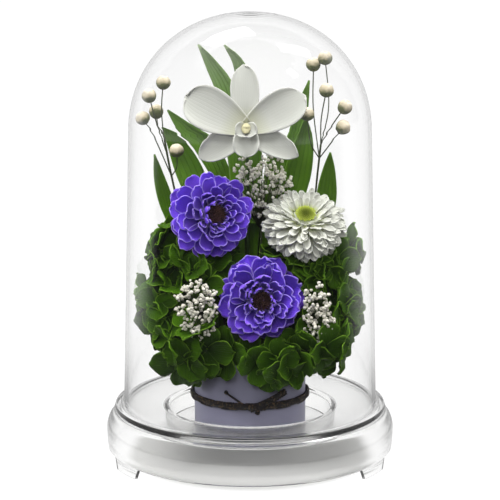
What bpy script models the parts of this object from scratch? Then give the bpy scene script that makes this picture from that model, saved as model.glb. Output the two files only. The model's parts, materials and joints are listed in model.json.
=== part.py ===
"""Preserved flower arrangement under a clear dome.

The flowers stand in foam in a small lavender pot, on a clear base with three
feet, and a clear dome rests on that base. Sizes are in metres and +Z is up. The
origin is the middle of the base, on the surface that it stands on, and the
front of the arrangement looks along -Y.
"""
import math
import random

import bmesh
import bpy
from mathutils import Matrix, Vector
from mathutils.bvhtree import BVHTree

MM = 0.001
GAP = 0.3 * MM          # clearance between pieces that touch

# Driving dimensions
TOTAL_HEIGHT = 236.0 * MM
BASE_RADIUS = 76.0 * MM
BASE_WALL = 2.2 * MM
FOOT_HEIGHT = 5.5 * MM
FLOOR_HEIGHT = 18.0 * MM     # recess floor that the pot stands on
SEAT_HEIGHT = 28.0 * MM      # ledge that the dome stands on
RECESS_RADIUS = 42.5 * MM
LIP_RADIUS = 71.3 * MM
LIP_HEIGHT = 29.2 * MM
DOME_FOOT_RADIUS = 66.8 * MM
DOME_SPRING_RADIUS = 63.2 * MM
DOME_SPRING_HEIGHT = 174.0 * MM
DOME_FULLNESS = 2.08         # 2 would be a true half ellipse
DOME_WALL = 1.8 * MM
POT_RADIUS = 29.4 * MM
POT_HEIGHT = 42.0 * MM
POT_WALL = 1.6 * MM
POT_FLOOR = 2.2 * MM
FOAM_CROWN = 9.0 * MM        # how far the foam domes above the pot's rim
CORD_RADIUS = 1.45 * MM
CORD_HEIGHT = 34.5 * MM
PETAL_THICKNESS = 0.7 * MM
LEAF_THICKNESS = 0.8 * MM
STEM_FOOT = 54.0             # height in mm at which the stems end inside the foam
DOME_CLEARANCE = 1.2 * MM    # kept between the flowers and the dome's inner wall

# Values worked out from them, and how finely round shapes are cut
POT_BOTTOM = FLOOR_HEIGHT + GAP
POT_RIM = POT_BOTTOM + POT_HEIGHT
FOAM_RADIUS = POT_RADIUS - POT_WALL - 0.5 * MM
ROUND_STEPS = 24
FOAM_STEPS = 12
HOLE_SIDES = 4
GOLDEN_ANGLE = math.radians(137.5)
NUDGE = 0.02 * MM            # shift that frees two edges that only just touch
MOST_NUDGES = 20


# Scene set-up

def clear_scene():
    for obj in list(bpy.data.objects):
        bpy.data.objects.remove(obj)


def new_collection(name):
    collection = bpy.data.collections.new(name)
    bpy.context.scene.collection.children.link(collection)
    return collection


clear_scene()
PARTS = new_collection("preserved_flower_arrangement")
CUTTERS = new_collection("cutters")
ROOT = bpy.data.objects.new("arrangement_origin", None)
PARTS.objects.link(ROOT)


def material(name, colour, roughness, alpha=1.0):
    """A plain Principled finish; nothing here is metal."""
    finish = bpy.data.materials.new(name)
    finish.use_nodes = True
    shader = finish.node_tree.nodes["Principled BSDF"]
    shader.inputs["Base Color"].default_value = (*colour, 1.0)
    shader.inputs["Roughness"].default_value = roughness
    shader.inputs["Metallic"].default_value = 0.0
    shader.inputs["Alpha"].default_value = alpha
    return finish


CLEAR = material("clear_plastic", (0.93, 0.95, 0.95), 0.05, alpha=0.25)
LAVENDER = material("lavender_glaze", (0.48, 0.44, 0.66), 0.35)
FOAM = material("floral_foam", (0.16, 0.24, 0.12), 0.9)
CORD = material("dark_braid", (0.05, 0.03, 0.03), 0.6)
VIOLET = material("violet_petal", (0.16, 0.06, 0.62), 0.6)
DISC = material("dark_disc", (0.05, 0.02, 0.03), 0.8)
STEM = material("green_stem", (0.10, 0.22, 0.05), 0.6)
WHITE = material("white_petal", (0.86, 0.86, 0.80), 0.6)
LIME = material("lime_disc", (0.42, 0.52, 0.08), 0.7)
CREAM = material("cream_column", (0.80, 0.76, 0.55), 0.5)
LEAF = material("green_leaf", (0.07, 0.26, 0.03), 0.45)
HYDRANGEA = material("green_floret", (0.05, 0.22, 0.02), 0.55)
BUD = material("cream_bud", (0.62, 0.54, 0.38), 0.6)
BABYS_BREATH = material("tiny_white_flower", (0.85, 0.82, 0.70), 0.8)


def mm(x, y, z):
    """A point given in millimetres."""
    return Vector((x, y, z)) * MM


def spread_directions(count, turn=0.0):
    """Directions spread evenly all round by the golden angle, the top one first."""
    directions = []
    for index in range(count):
        level = 1 - 2 * (index + 0.5) / count
        flat = math.sqrt(1 - level ** 2)
        swing = index * GOLDEN_ANGLE + turn
        directions.append(Vector((flat * math.cos(swing), flat * math.sin(swing), level)))
    return directions


def stretched(direction, radii):
    """A direction scaled along each axis, so that it ends on an ellipsoid."""
    return Vector([part * radius for part, radius in zip(direction, radii)])


# Mesh helpers

def mesh_of(bm, name):
    mesh = bpy.data.meshes.new(name)
    bm.to_mesh(mesh)
    return mesh


def add_part(name, mesh, finish, pose=None, smooth_angle=40):
    """Link a named sub-part, placed by a matrix and parented to the origin."""
    mesh.name = name
    mesh.materials.clear()
    mesh.materials.append(finish)
    mesh.shade_smooth()
    mesh.set_sharp_from_angle(angle=math.radians(smooth_angle))
    part = bpy.data.objects.new(name, mesh)
    PARTS.objects.link(part)
    part.parent = ROOT
    if pose is not None:
        part.matrix_basis = pose
    return part


def evaluated_mesh(obj):
    """The object's mesh with its modifiers and its curve made solid."""
    bpy.context.view_layer.update()
    graph = bpy.context.evaluated_depsgraph_get()
    return bpy.data.meshes.new_from_object(obj.evaluated_get(graph))


def turned(name, profile, finish, steps=ROUND_STEPS, smooth_angle=40):
    """A turned piece: a (radius, height) profile swept round Z."""
    mesh = bpy.data.meshes.new(name)
    points = [(radius, 0, height) for radius, height in profile]
    mesh.from_pydata(points, [(i, i + 1) for i in range(len(points) - 1)], [])
    part = add_part(name, mesh, finish, smooth_angle=smooth_angle)
    screw = part.modifiers.new("Turn", "SCREW")
    screw.steps = steps
    screw.render_steps = steps
    screw.use_merge_vertices = True
    screw.merge_threshold = 0.00001
    return part


def aimed(start, direction):
    """A pose at a point whose +Z looks along a direction, its +Y kept upward."""
    turn = Vector(direction).to_track_quat("Z", "Y").to_matrix().to_4x4()
    return Matrix.Translation(start) @ turn


def rod(start, end, radius, end_radius=None, sides=6):
    """A straight stem between two points."""
    bm = bmesh.new()
    along = end - start
    pose = aimed((start + end) / 2, along)
    bmesh.ops.create_cone(
        bm, cap_ends=True, segments=sides, radius1=radius,
        radius2=radius if end_radius is None else end_radius,
        depth=along.length, matrix=pose)
    return bm


def ball(centre, radii, around=10, levels=6):
    """A round core or bud."""
    bm = bmesh.new()
    bmesh.ops.create_uvsphere(bm, u_segments=around, v_segments=levels, radius=1)
    bmesh.ops.scale(bm, vec=Vector(radii), verts=bm.verts)
    bmesh.ops.translate(bm, vec=centre, verts=bm.verts)
    return bm


def smooth_route(points, steps):
    """Points along a smooth curve through the given ones."""
    route = []
    ends = [points[0] * 2 - points[1], *points, points[-1] * 2 - points[-2]]
    for before, start, end, after in zip(ends, ends[1:], ends[2:], ends[3:]):
        for step in range(steps):
            t = step / steps
            route.append(0.5 * (
                2 * start + (end - before) * t
                + (2 * before - 5 * start + 4 * end - after) * t ** 2
                + (3 * start - before - 3 * end + after) * t ** 3))
    route.append(points[-1])
    return route


def tube(points, radius, resolution=1):
    """A closed tube along a route, made as a bevelled curve with caps."""
    curve = bpy.data.curves.new("tube", "CURVE")
    curve.dimensions = "3D"
    curve.bevel_depth = radius
    curve.bevel_resolution = resolution
    curve.use_fill_caps = True
    spline = curve.splines.new("POLY")
    spline.points.add(len(points) - 1)
    for target, point in zip(spline.points, points):
        target.co = (*point, 1)
    guide = bpy.data.objects.new("tube", curve)
    CUTTERS.objects.link(guide)
    bm = bmesh.new()
    bm.from_mesh(evaluated_mesh(guide))
    bmesh.ops.remove_doubles(bm, verts=bm.verts, dist=0.00001)
    bpy.data.objects.remove(guide)
    return bm


def blade(shape, columns, rows, thickness):
    """A closed thin blade from shape(across, along): across -1 to 1, along 0 to 1."""
    bm = bmesh.new()
    bmesh.ops.create_grid(bm, x_segments=columns, y_segments=rows, size=1)
    for vert in bm.verts:
        vert.co = shape(vert.co.x, (vert.co.y + 1) / 2)
    thicken(bm, thickness)
    return bm


def thicken(bm, thickness):
    """Turn an open surface into a closed one, its triangles alike on both faces."""
    bmesh.ops.triangulate(bm, faces=bm.faces)
    bm.normal_update()
    bmesh.ops.solidify(bm, geom=bm.faces[:], thickness=thickness)
    bmesh.ops.recalc_face_normals(bm, faces=bm.faces)


def outer_body(mesh):
    """Keep the one body that holds together; fill sealed hollows, drop scraps."""
    bm = bmesh.new()
    bm.from_mesh(mesh)
    unseen = set(bm.verts)
    bodies = []
    while unseen:
        body = [unseen.pop()]
        for vert in body:
            for edge in vert.link_edges:
                other = edge.other_vert(vert)
                if other in unseen:
                    unseen.remove(other)
                    body.append(other)
        bodies.append(body)
    keep = max(bodies, key=len)
    spare = [vert for body in bodies if body is not keep for vert in body]
    bmesh.ops.delete(bm, geom=spare, context="VERTS")
    bmesh.ops.triangulate(bm, faces=bm.faces)
    bm.to_mesh(mesh)


def is_closed(mesh):
    """True if every edge of a mesh has exactly two faces."""
    bm = bmesh.new()
    bm.from_mesh(mesh)
    return all(edge.is_manifold for edge in bm.edges)


def union(core, pieces):
    """The mesh of a core and the pieces rooted in it, joined by one Boolean."""
    joining = new_collection("joining")
    for piece in pieces:
        joining.objects.link(bpy.data.objects.new("piece", mesh_of(piece, "piece")))
    base = bpy.data.objects.new("core", mesh_of(core, "core"))
    CUTTERS.objects.link(base)
    join = base.modifiers.new("Fuse", "BOOLEAN")
    join.operation = "UNION"
    join.operand_type = "COLLECTION"
    join.collection = joining
    join.solver = "MANIFOLD"
    mesh = evaluated_mesh(base)
    for obj in [base, *joining.objects]:
        bpy.data.objects.remove(obj)
    bpy.data.collections.remove(joining)
    outer_body(mesh)
    return mesh


def fused(name, core, pieces, finish, pose=None, smooth_angle=40):
    """One closed body; where edges only just touch, the pieces shift by a hair."""
    mesh = union(core, pieces)
    rng = random.Random(1)
    tries = 0
    while not is_closed(mesh) and tries < MOST_NUDGES:
        for piece in pieces:
            shift = Vector([rng.uniform(-1, 1) for _ in range(3)]) * NUDGE
            bmesh.ops.translate(piece, vec=shift, verts=piece.verts)
        mesh = union(core, pieces)
        tries += 1
    return add_part(name, mesh, finish, pose, smooth_angle)


# Keeping clear of what is already in place

NEIGHBOURS = {}


def remember(part):
    """Store a placed part's surface for the clearance tests."""
    bm = bmesh.new()
    bm.from_mesh(evaluated_mesh(part))
    bpy.context.view_layer.update()
    bm.transform(part.matrix_world)
    NEIGHBOURS[part.name] = BVHTree.FromBMesh(bm)
    return part


def is_clear(bm, pose, margin=GAP):
    """True if a piece, swollen by a margin, meets no part in place."""
    test = bm.copy()
    test.normal_update()
    for vert in test.verts:
        vert.co += vert.normal * margin
    test.transform(pose)
    tree = BVHTree.FromBMesh(test)
    return not any(other.overlap(tree) for other in NEIGHBOURS.values())


def inside_dome(bm, pose):
    """True if a piece stays inside the dome's wall and above the base."""
    clearance = DOME_WALL + DOME_CLEARANCE
    for vert in bm.verts:
        point = pose @ vert.co
        too_wide = point.xy.length > dome_radius(point.z) - clearance
        if too_wide or point.z < SEAT_HEIGHT:
            return False
    return True


# Clear dome and base

def dome_radius(height):
    """Outer radius of the dome at a height above the ground."""
    if height < DOME_SPRING_HEIGHT:
        rise = (height - SEAT_HEIGHT) / (DOME_SPRING_HEIGHT - SEAT_HEIGHT)
        return DOME_FOOT_RADIUS + (DOME_SPRING_RADIUS - DOME_FOOT_RADIUS) * rise
    rise = min((height - DOME_SPRING_HEIGHT) / (TOTAL_HEIGHT - DOME_SPRING_HEIGHT), 1)
    return DOME_SPRING_RADIUS * (1 - rise ** DOME_FULLNESS) ** (1 / DOME_FULLNESS)


def dome_curve(radius, height, points):
    """The dome's upper profile, from its top down to the spring line."""
    curve = []
    for index in range(points):
        angle = math.pi / 2 * index / points
        curve.append((radius * math.sin(angle) ** (2 / DOME_FULLNESS),
                      DOME_SPRING_HEIGHT + height * math.cos(angle) ** (2 / DOME_FULLNESS)))
    return curve


def make_dome():
    """An open-bottomed bell whose rim stands on the base's ledge."""
    rim_height = SEAT_HEIGHT + GAP
    crown = TOTAL_HEIGHT - DOME_SPRING_HEIGHT
    outer = dome_curve(DOME_SPRING_RADIUS, crown, 6)
    outer.append((DOME_SPRING_RADIUS, DOME_SPRING_HEIGHT))
    outer.append((DOME_FOOT_RADIUS, rim_height))
    inner = dome_curve(DOME_SPRING_RADIUS - DOME_WALL, crown - DOME_WALL, 5)
    inner.append((DOME_SPRING_RADIUS - DOME_WALL, DOME_SPRING_HEIGHT))
    inner.append((DOME_FOOT_RADIUS - DOME_WALL, rim_height))
    return turned("dome", outer + inner[::-1], CLEAR)


def make_foot(middle_angle):
    """A curved foot under the skirt, its ends sloping in towards the ground."""
    half_angle = math.radians(10)
    slope = math.radians(2.5)
    inner = BASE_RADIUS - BASE_WALL - 0.6 * MM
    outer = BASE_RADIUS - 0.9 * MM
    top = FOOT_HEIGHT + 1.5 * MM
    bm = bmesh.new()
    corners = [bm.verts.new((radius, 0, height))
               for radius, height in ((inner, 0), (outer, 0), (outer, top), (inner, top))]
    start = bm.faces.new(corners)
    bmesh.ops.rotate(bm, verts=corners, matrix=Matrix.Rotation(-half_angle, 3, "Z"))
    bmesh.ops.spin(bm, geom=[start, *start.edges, *start.verts], axis=(0, 0, 1),
                   angle=2 * half_angle, steps=3)
    for vert in bm.verts:
        if vert.co.z < top / 2:
            angle = math.atan2(vert.co.y, vert.co.x)
            turn = Matrix.Rotation(-slope * angle / half_angle, 3, "Z")
            vert.co = turn @ vert.co
    bmesh.ops.rotate(bm, verts=bm.verts, matrix=Matrix.Rotation(middle_angle, 3, "Z"))
    bmesh.ops.recalc_face_normals(bm, faces=bm.faces)
    return bm


def make_base():
    """A thin moulded base: pot recess, dome ledge, lip, round shoulder and skirt."""
    wall = BASE_WALL
    top_side = [
        (0, FLOOR_HEIGHT),
        (RECESS_RADIUS - 0.5 * MM, FLOOR_HEIGHT),
        (RECESS_RADIUS + 0.5 * MM, SEAT_HEIGHT),
        (DOME_FOOT_RADIUS + 0.6 * MM, SEAT_HEIGHT),
        (DOME_FOOT_RADIUS + 1.0 * MM, LIP_HEIGHT),
        (LIP_RADIUS, LIP_HEIGHT),
        (LIP_RADIUS + 1.7 * MM, SEAT_HEIGHT - 3.5 * MM),
        (BASE_RADIUS - 1.0 * MM, SEAT_HEIGHT - 6.5 * MM),
        (BASE_RADIUS, SEAT_HEIGHT - 11.0 * MM),
        (BASE_RADIUS - 0.7 * MM, FOOT_HEIGHT),
    ]
    under_side = [
        (BASE_RADIUS - 0.7 * MM - wall, FOOT_HEIGHT),
        (BASE_RADIUS - wall, SEAT_HEIGHT - 11.0 * MM),
        (LIP_RADIUS + 0.6 * MM, SEAT_HEIGHT - 6.0 * MM),
        (LIP_RADIUS - 1.8 * MM, SEAT_HEIGHT - wall),
        (RECESS_RADIUS + 0.4 * MM + wall, SEAT_HEIGHT - wall),
        (RECESS_RADIUS + wall, FLOOR_HEIGHT - wall),
        (0, FLOOR_HEIGHT - wall),
    ]
    blank = turned("base_blank", top_side + under_side, CLEAR)
    core = bmesh.new()
    core.from_mesh(evaluated_mesh(blank))
    bpy.data.objects.remove(blank)
    front = math.radians(-90)
    feet = [make_foot(front + math.radians(angle)) for angle in (60, 180, 300)]
    return fused("base", core, feet, CLEAR)


# Pot, foam and cord

def make_pot():
    """A straight-sided round pot, its walls thin and its floor flat."""
    bore = POT_RADIUS - POT_WALL
    profile = [
        (0, POT_BOTTOM + POT_FLOOR),
        (bore, POT_BOTTOM + POT_FLOOR),
        (bore, POT_RIM),
        (POT_RADIUS, POT_RIM),
        (POT_RADIUS, POT_BOTTOM),
        (0, POT_BOTTOM),
    ]
    return turned("pot", profile, LAVENDER, smooth_angle=30)


def foam_profile():
    """A plug that fills the pot and domes a little above its rim."""
    return [
        (0, POT_RIM + FOAM_CROWN),
        (FOAM_RADIUS * 0.55, POT_RIM + FOAM_CROWN * 0.8),
        (FOAM_RADIUS * 0.9, POT_RIM + FOAM_CROWN * 0.25),
        (FOAM_RADIUS, POT_RIM - 2.0 * MM),
        (FOAM_RADIUS, POT_BOTTOM + POT_FLOOR + GAP),
        (0, POT_BOTTOM + POT_FLOOR + GAP),
    ]


HOLES = []


def plant(knee, foot, radius):
    """Ask for a plain foam hole along the stem's straight end, knee to foot."""
    HOLES.append((knee, foot, radius))


def make_foam():
    """The foam block, with a plain hole for every stem that stands in it."""
    block = turned("foam_block", foam_profile(), FOAM, steps=FOAM_STEPS)
    mesh = evaluated_mesh(block)
    bpy.data.objects.remove(block)
    foam = add_part("foam", mesh, FOAM)
    for knee, foot, radius in HOLES:
        along = (foot - knee).normalized()
        bore = (radius + GAP) / math.cos(math.pi / HOLE_SIDES)
        tool = rod(knee, foot + along * GAP, bore, sides=HOLE_SIDES)
        cutter = bpy.data.objects.new("hole", mesh_of(tool, "hole"))
        cutter.hide_render = True
        cutter.display_type = "WIRE"
        CUTTERS.objects.link(cutter)
    cut = foam.modifiers.new("Stem holes", "BOOLEAN")
    cut.operation = "DIFFERENCE"
    cut.operand_type = "COLLECTION"
    cut.collection = CUTTERS
    cut.solver = "MANIFOLD"


def round_pot(angle, height, stand_off):
    """A point round the pot: its angle from the front, height and stand-off."""
    radius = POT_RADIUS + GAP + stand_off
    return Vector((radius * math.sin(angle), -radius * math.cos(angle), height))


def make_cord():
    """A braided cord tied round the pot, with a thick tail and a thin one."""
    turns = 18
    ring = bmesh.new()
    bmesh.ops.create_circle(ring, segments=6, radius=CORD_RADIUS,
                            matrix=Matrix.Rotation(math.pi / 2, 4, "X"))
    bmesh.ops.translate(ring, verts=ring.verts,
                        vec=(POT_RADIUS + GAP + CORD_RADIUS, 0, CORD_HEIGHT))
    bmesh.ops.spin(ring, geom=ring.verts[:] + ring.edges[:], axis=(0, 0, 1),
                   angle=math.tau, steps=turns, use_merge=True)
    bmesh.ops.recalc_face_normals(ring, faces=ring.faces)
    knot = ball(round_pot(0.02, CORD_HEIGHT - 1.5 * MM, 1.9 * MM),
                (3.2 * MM, 1.7 * MM, 2.2 * MM), around=6, levels=4)
    thick = [round_pot(math.radians(a), CORD_HEIGHT + z * MM, CORD_RADIUS + 0.1 * MM)
             for a, z in ((0, -1), (9, 0.8), (18, 3), (27, 5.2), (36, 7))]
    thin_radius = 0.6 * MM
    thin = [round_pot(math.radians(-a), CORD_HEIGHT + z * MM, thin_radius + 0.2 * MM)
            for a, z in ((1, -1), (9, 2.5), (17, 5), (24.5, 7.2))]
    end_knot = ball(thin[-1] + mm(0, -0.6, 0), [1.2 * MM] * 3, around=5, levels=4)
    pieces = [knot, tube(thick, CORD_RADIUS * 0.95), tube(thin, thin_radius), end_knot]
    return fused("cord", ring, pieces, CORD)


# Blooms

PETAL_PEAK = 0.85        # where along its length a petal is widest
PETAL_TIP = 0.25         # how strongly a petal narrows at its tip
PETAL_ROOT = 0.17        # half width at the root, as a share of the full width


def petal_half_width(along, root, full):
    """Half the petal's width at a share of its length."""
    if along < PETAL_PEAK:
        return root + (full - root) * along / PETAL_PEAK
    past = (along - PETAL_PEAK) / (1 - PETAL_PEAK)
    return full * math.sqrt(1 - PETAL_TIP * past ** 2)


def petal(length, width, cup, lift, rows=2, columns=2):
    """A petal from the origin along +Y, its edges cupped up and its tip lifted."""
    def shape(across, along):
        half = petal_half_width(along, width * PETAL_ROOT, width / 2)
        out = length * along * (0.9 + 0.14 * along * (1 - across ** 2))
        up = cup * half * across ** 2 * along + lift * length * along ** 2
        return Vector((half * across, out, up))
    return blade(shape, columns, rows, PETAL_THICKNESS)


def petal_ring(count, root_radius, root_height, tilt, length, width, cup, lift, turn, rng):
    """Petals round a bloom: tilt is how far they rise towards its face."""
    ring = []
    for index in range(count):
        angle = math.tau * (index + turn) / count + rng.uniform(-0.02, 0.02)
        size = rng.uniform(0.95, 1.05)
        rise = math.radians(tilt + rng.uniform(-4, 4))
        piece = petal(length * size * MM, width * MM, cup, lift)
        pose = (Matrix.Rotation(angle, 4, "Z")
                @ Matrix.Translation(mm(0, root_radius, root_height))
                @ Matrix.Rotation(rise, 4, "X"))
        piece.transform(pose)
        ring.append(piece)
    return ring


# count, root radius, root height, tilt, length, width, cup, lift, turn
DAHLIA_RINGS = (
    (10, 7.8, -1.8, -14, 16.0, 11.6, 0.40, 0.02, 0.0),
    (9, 7.8, 1.2, 10, 14.6, 11.2, 0.50, 0.04, 0.5),
    (6, 7.0, 3.8, 34, 12.0, 11.4, 0.60, 0.05, 0.2),
    (4, 6.6, 5.8, 60, 8.0, 8.4, 0.75, -0.10, 0.6),
)
MUM_RINGS = (
    (7, 7.4, -3.0, -20, 13.6, 11.4, 0.30, -0.05, 0.3),
    (10, 7.8, -0.5, 2, 13.6, 9.8, 0.30, 0.02, 0.0),
    (6, 7.2, 2.0, 22, 10.4, 10.0, 0.35, 0.04, 0.5),
)
DAHLIA_DISC_RADII = (4.6 * MM, 4.6 * MM, 1.6 * MM)
MUM_DISC_RADII = (5.0 * MM, 5.0 * MM, 1.4 * MM)
BLOOM_CORE_RADII = (9.0 * MM, 9.0 * MM, 6.5 * MM)
CALYX_LENGTH = 7.0 * MM
STEM_RADIUS = 1.2 * MM


def make_bloom(name, centre, facing, rings, petals, disc, disc_radii, route, seed):
    """A round bloom: petals on a core, a disc in the middle, a stem with its calyx."""
    rng = random.Random(seed)
    pose = aimed(centre, facing)
    pieces = [piece for ring in rings for piece in petal_ring(*ring, rng)]
    core = ball(Vector(), BLOOM_CORE_RADII, 8, 6)
    remember(fused(name + "_petals", core, pieces, petals, pose))
    core_face = BLOOM_CORE_RADII[2] + GAP
    button = ball(Vector((0, 0, core_face + disc_radii[2])), disc_radii, around=10, levels=4)
    remember(add_part(name + "_disc", mesh_of(button, "disc"), disc, pose))
    calyx_top = pose @ Vector((0, 0, -core_face))
    calyx_end = pose @ Vector((0, 0, -core_face - CALYX_LENGTH))
    make_stem(name + "_stem", calyx_top, calyx_end, route, STEM_RADIUS)


def make_stem(name, top, neck, route, radius):
    """A stem that widens to a calyx under the bloom and stands in the foam."""
    knee, foot = route[-2:]
    points = smooth_route([neck, *route[:-1]], 2) + [foot]
    calyx = rod(top, neck, radius * 3.4, radius * 1.3, sides=7)
    stem = tube([(top + neck) / 2, *points], radius)
    plant(knee, foot, radius)
    return remember(fused(name, stem, [calyx], STEM))


def make_dahlias():
    """Two violet dahlias, one low at the front and one higher on the left."""
    make_bloom("dahlia_upper", mm(-19.5, -20, 134), (0.32, -0.92, 0.24), DAHLIA_RINGS,
               VIOLET, DISC, DAHLIA_DISC_RADII,
               [mm(-22, -2, 118), mm(-15, -2, 94), mm(-8, -4, 76), mm(-7, -4.5, STEM_FOOT)], 11)
    make_bloom("dahlia_lower", mm(5.6, -32, 92.5), (0.05, -0.99, 0.12), DAHLIA_RINGS,
               VIOLET, DISC, DAHLIA_DISC_RADII,
               [mm(4, -12.5, 84), mm(3, -11, 76), mm(2.5, -10, STEM_FOOT)], 23)


def make_mum():
    """A white chrysanthemum on the right that looks up and forward."""
    make_bloom("chrysanthemum", mm(28.2, -16, 129.5), (0.05, -0.57, 0.82), MUM_RINGS,
               WHITE, LIME, MUM_DISC_RADII,
               [mm(22, -5, 102), mm(13, -5, 86), mm(9.5, -5, 76), mm(8.5, -5, STEM_FOOT)], 37)


# angle round the face, length, width, cup, lift
ORCHID_TEPALS = (
    (92, 32.5, 13.5, 0.30, -0.06),
    (152, 36.0, 21.5, 0.25, -0.10),
    (27, 36.0, 21.0, 0.25, -0.08),
    (212, 26.5, 13.5, 0.30, 0.05),
    (332, 27.5, 12.5, 0.30, 0.08),
)
ORCHID_CENTRE = mm(-2, -14, 178)
ORCHID_FACING = (0.0, -0.98, 0.2)
ORCHID_CORE_RADII = (4.5 * MM, 4.5 * MM, 3.0 * MM)
ORCHID_COLUMN_RADII = (2.6 * MM, 2.4 * MM, 3.0 * MM)
ORCHID_LAYER = 0.9 * MM      # the two petals lie this far forward, the sepals back
ORCHID_STEM_RADIUS = 0.8 * MM
WIDE_TEPAL = 20              # from this width in mm a tepal takes one more column


def tepal(length, width, cup, lift, columns=2):
    """A broad orchid tepal with a blunt point."""
    def shape(across, along):
        half = width / 2 * (0.30 + 0.70 * math.sin(math.pi * min(along, 0.93) ** 0.85) ** 0.8)
        out = length * (along + 0.05 * along * (1 - across ** 2))
        up = cup * half * across ** 2 + lift * length * along ** 2
        return Vector((half * across, out, up))
    return blade(shape, columns, 4, LEAF_THICKNESS)


def make_orchid():
    """Three sepals, two petals and a lip round a cream column."""
    pose = aimed(ORCHID_CENTRE, ORCHID_FACING)
    pieces = []
    for angle, length, width, cup, lift in ORCHID_TEPALS:
        is_wide = width > WIDE_TEPAL
        piece = tepal(length * MM, width * MM, cup, lift, 3 if is_wide else 2)
        layer = ORCHID_LAYER if is_wide else -ORCHID_LAYER
        piece.transform(Matrix.Translation((0, 0, layer))
                        @ Matrix.Rotation(math.radians(angle - 90), 4, "Z"))
        pieces.append(piece)
    lip = tepal(15.5 * MM, 15.0 * MM, 0.9, -0.15)
    lip.transform(Matrix.Translation(mm(0, 0, 1.5))
                  @ Matrix.Rotation(math.pi, 4, "Z") @ Matrix.Rotation(math.radians(38), 4, "X"))
    pieces.append(lip)
    core = ball(Vector(), ORCHID_CORE_RADII, 6, 5)
    remember(fused("orchid_petals", core, pieces, WHITE, pose))
    core_face = ORCHID_CORE_RADII[2]
    column = ball(mm(0, 1, 0) + Vector((0, 0, core_face + ORCHID_COLUMN_RADII[2] + 0.4 * MM)),
                  ORCHID_COLUMN_RADII, around=8, levels=6)
    remember(add_part("orchid_column", mesh_of(column, "column"), CREAM, pose))
    make_stem("orchid_stem", pose @ Vector((0, 0, -core_face - GAP)),
              pose @ Vector((0, 0, -core_face - 3 * MM)),
              [mm(-2, -3, 170), mm(-1, 1, 150), mm(-1, 2, 105), mm(-0.5, 1, 76),
               mm(0, 1, STEM_FOOT)], ORCHID_STEM_RADIUS)


# Long leaves

LEAF_WIDEST = 0.3        # where a leaf is widest, from its tip
LEAF_STALK = 0.86        # where its blade has narrowed to the stalk
LEAF_CUP = 0.12
STALK_WIDTH = 0.9 * MM


def leaf(name, points, width, facing):
    """A ribbon leaf from its tip along a route, ending as a stalk in the foam."""
    route = smooth_route(points[:3], 2) + points[3:]
    face = Vector(facing).normalized()
    last = len(route) - 1

    def shape(across, along):
        place = along * last
        index = min(int(place), last - 1)
        here = route[index].lerp(route[index + 1], place - index)
        ahead = (route[index + 1] - route[index]).normalized()
        side = face.cross(ahead).normalized()
        rise = min(along / LEAF_WIDEST, 1)
        fall = max((along - LEAF_WIDEST) / (LEAF_STALK - LEAF_WIDEST), 0)
        half = width / 2 * math.sin(math.pi / 2 * rise ** 0.8) * max(1 - fall, 0) ** 0.7
        half = max(half, STALK_WIDTH / 2)
        hollow = LEAF_CUP * (half - STALK_WIDTH / 2) * (1 - across ** 2)
        return here + side * half * across - face * hollow

    bm = blade(shape, 2, last, LEAF_THICKNESS)
    knee, foot = points[-2:]
    plant(knee, foot, STALK_WIDTH)
    remember(add_part(name, mesh_of(bm, name), LEAF, smooth_angle=60))


# name, route in mm from tip to foot, width, facing
LEAVES = (
    ("leaf_top_left", ((-27, 12, 218), (-20, 13, 207), (-12, 13, 191), (-7, 12, 160),
                       (-5, 9, 110), (-4.5, 7, 76), (-4, 6, STEM_FOOT)), 9.5, (0.2, -1, 0.1)),
    ("leaf_top_middle", ((-13.5, 17, 217), (-6, 18, 207), (-2, 18, 190), (0, 17, 155),
                         (0, 14, 110), (0, 12, 76), (0, 10, STEM_FOOT)), 9.0, (-0.1, -1, 0.1)),
    ("leaf_upper_left", ((-43, 8, 184), (-34, 9, 174), (-24, 10, 165), (-14, 11, 145),
                         (-9, 11, 110), (-8, 10.5, 76), (-7.5, 10, STEM_FOOT)), 10.5, (0.1, -1, 0.3)),
    ("leaf_left", ((-46, 9, 175), (-39, 9, 166), (-32, 8, 152), (-24, 7, 132),
                   (-14, 6, 100), (-11, 5.5, 76), (-10, 5, STEM_FOOT)), 13.5, (0.2, -1, 0.1)),
    ("leaf_far_left", ((-50, 6, 161), (-47, 7, 146), (-42, 8, 130), (-32, 7, 108),
                       (-19, 4, 84), (-15.5, 2.5, 74), (-13.5, 2, STEM_FOOT)), 7.0, (0.3, -1, 0.1)),
    ("leaf_top_right", ((31, 16, 198.5), (28, 16, 186), (25, 15, 172), (18, 14, 145),
                        (9, 12.5, 105), (6, 12, 76), (5.5, 11, STEM_FOOT)), 8.5, (-0.1, -1, 0.1)),
    ("leaf_right", ((29, 8, 180), (28.5, 9, 168), (25.5, 10, 152), (21, 10, 132),
                    (13, 9, 102), (10.5, 8, 76), (9.5, 7.5, STEM_FOOT)), 12.0, (-0.1, -1, 0.1)),
    ("leaf_far_right", ((42, 6, 162), (41, 7, 148), (39, 8, 132), (31, 7, 108),
                        (18, 4.5, 84), (15, 3.5, 74), (13, 3, STEM_FOOT)), 10.0, (-0.1, -1, 0.1)),
    ("leaf_middle", ((12, 7, 168), (15, 7, 158), (15.5, 6.5, 142), (10, 7, 112),
                     (5, 7.5, 88), (3.5, 7.5, 76), (3, 7, STEM_FOOT)), 9.5, (0, -1, 0.1)),
)


def make_leaves():
    """Nine long leaves that rise behind the blooms."""
    for name, route, width, facing in LEAVES:
        leaf(name, [mm(*point) for point in route], width * MM, facing)


# Bud sprays

BUD_RADIUS = 3.8 * MM
TWIG_RADIUS = 0.4 * MM
SPRAY_STEM_RADIUS = 0.6 * MM


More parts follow.
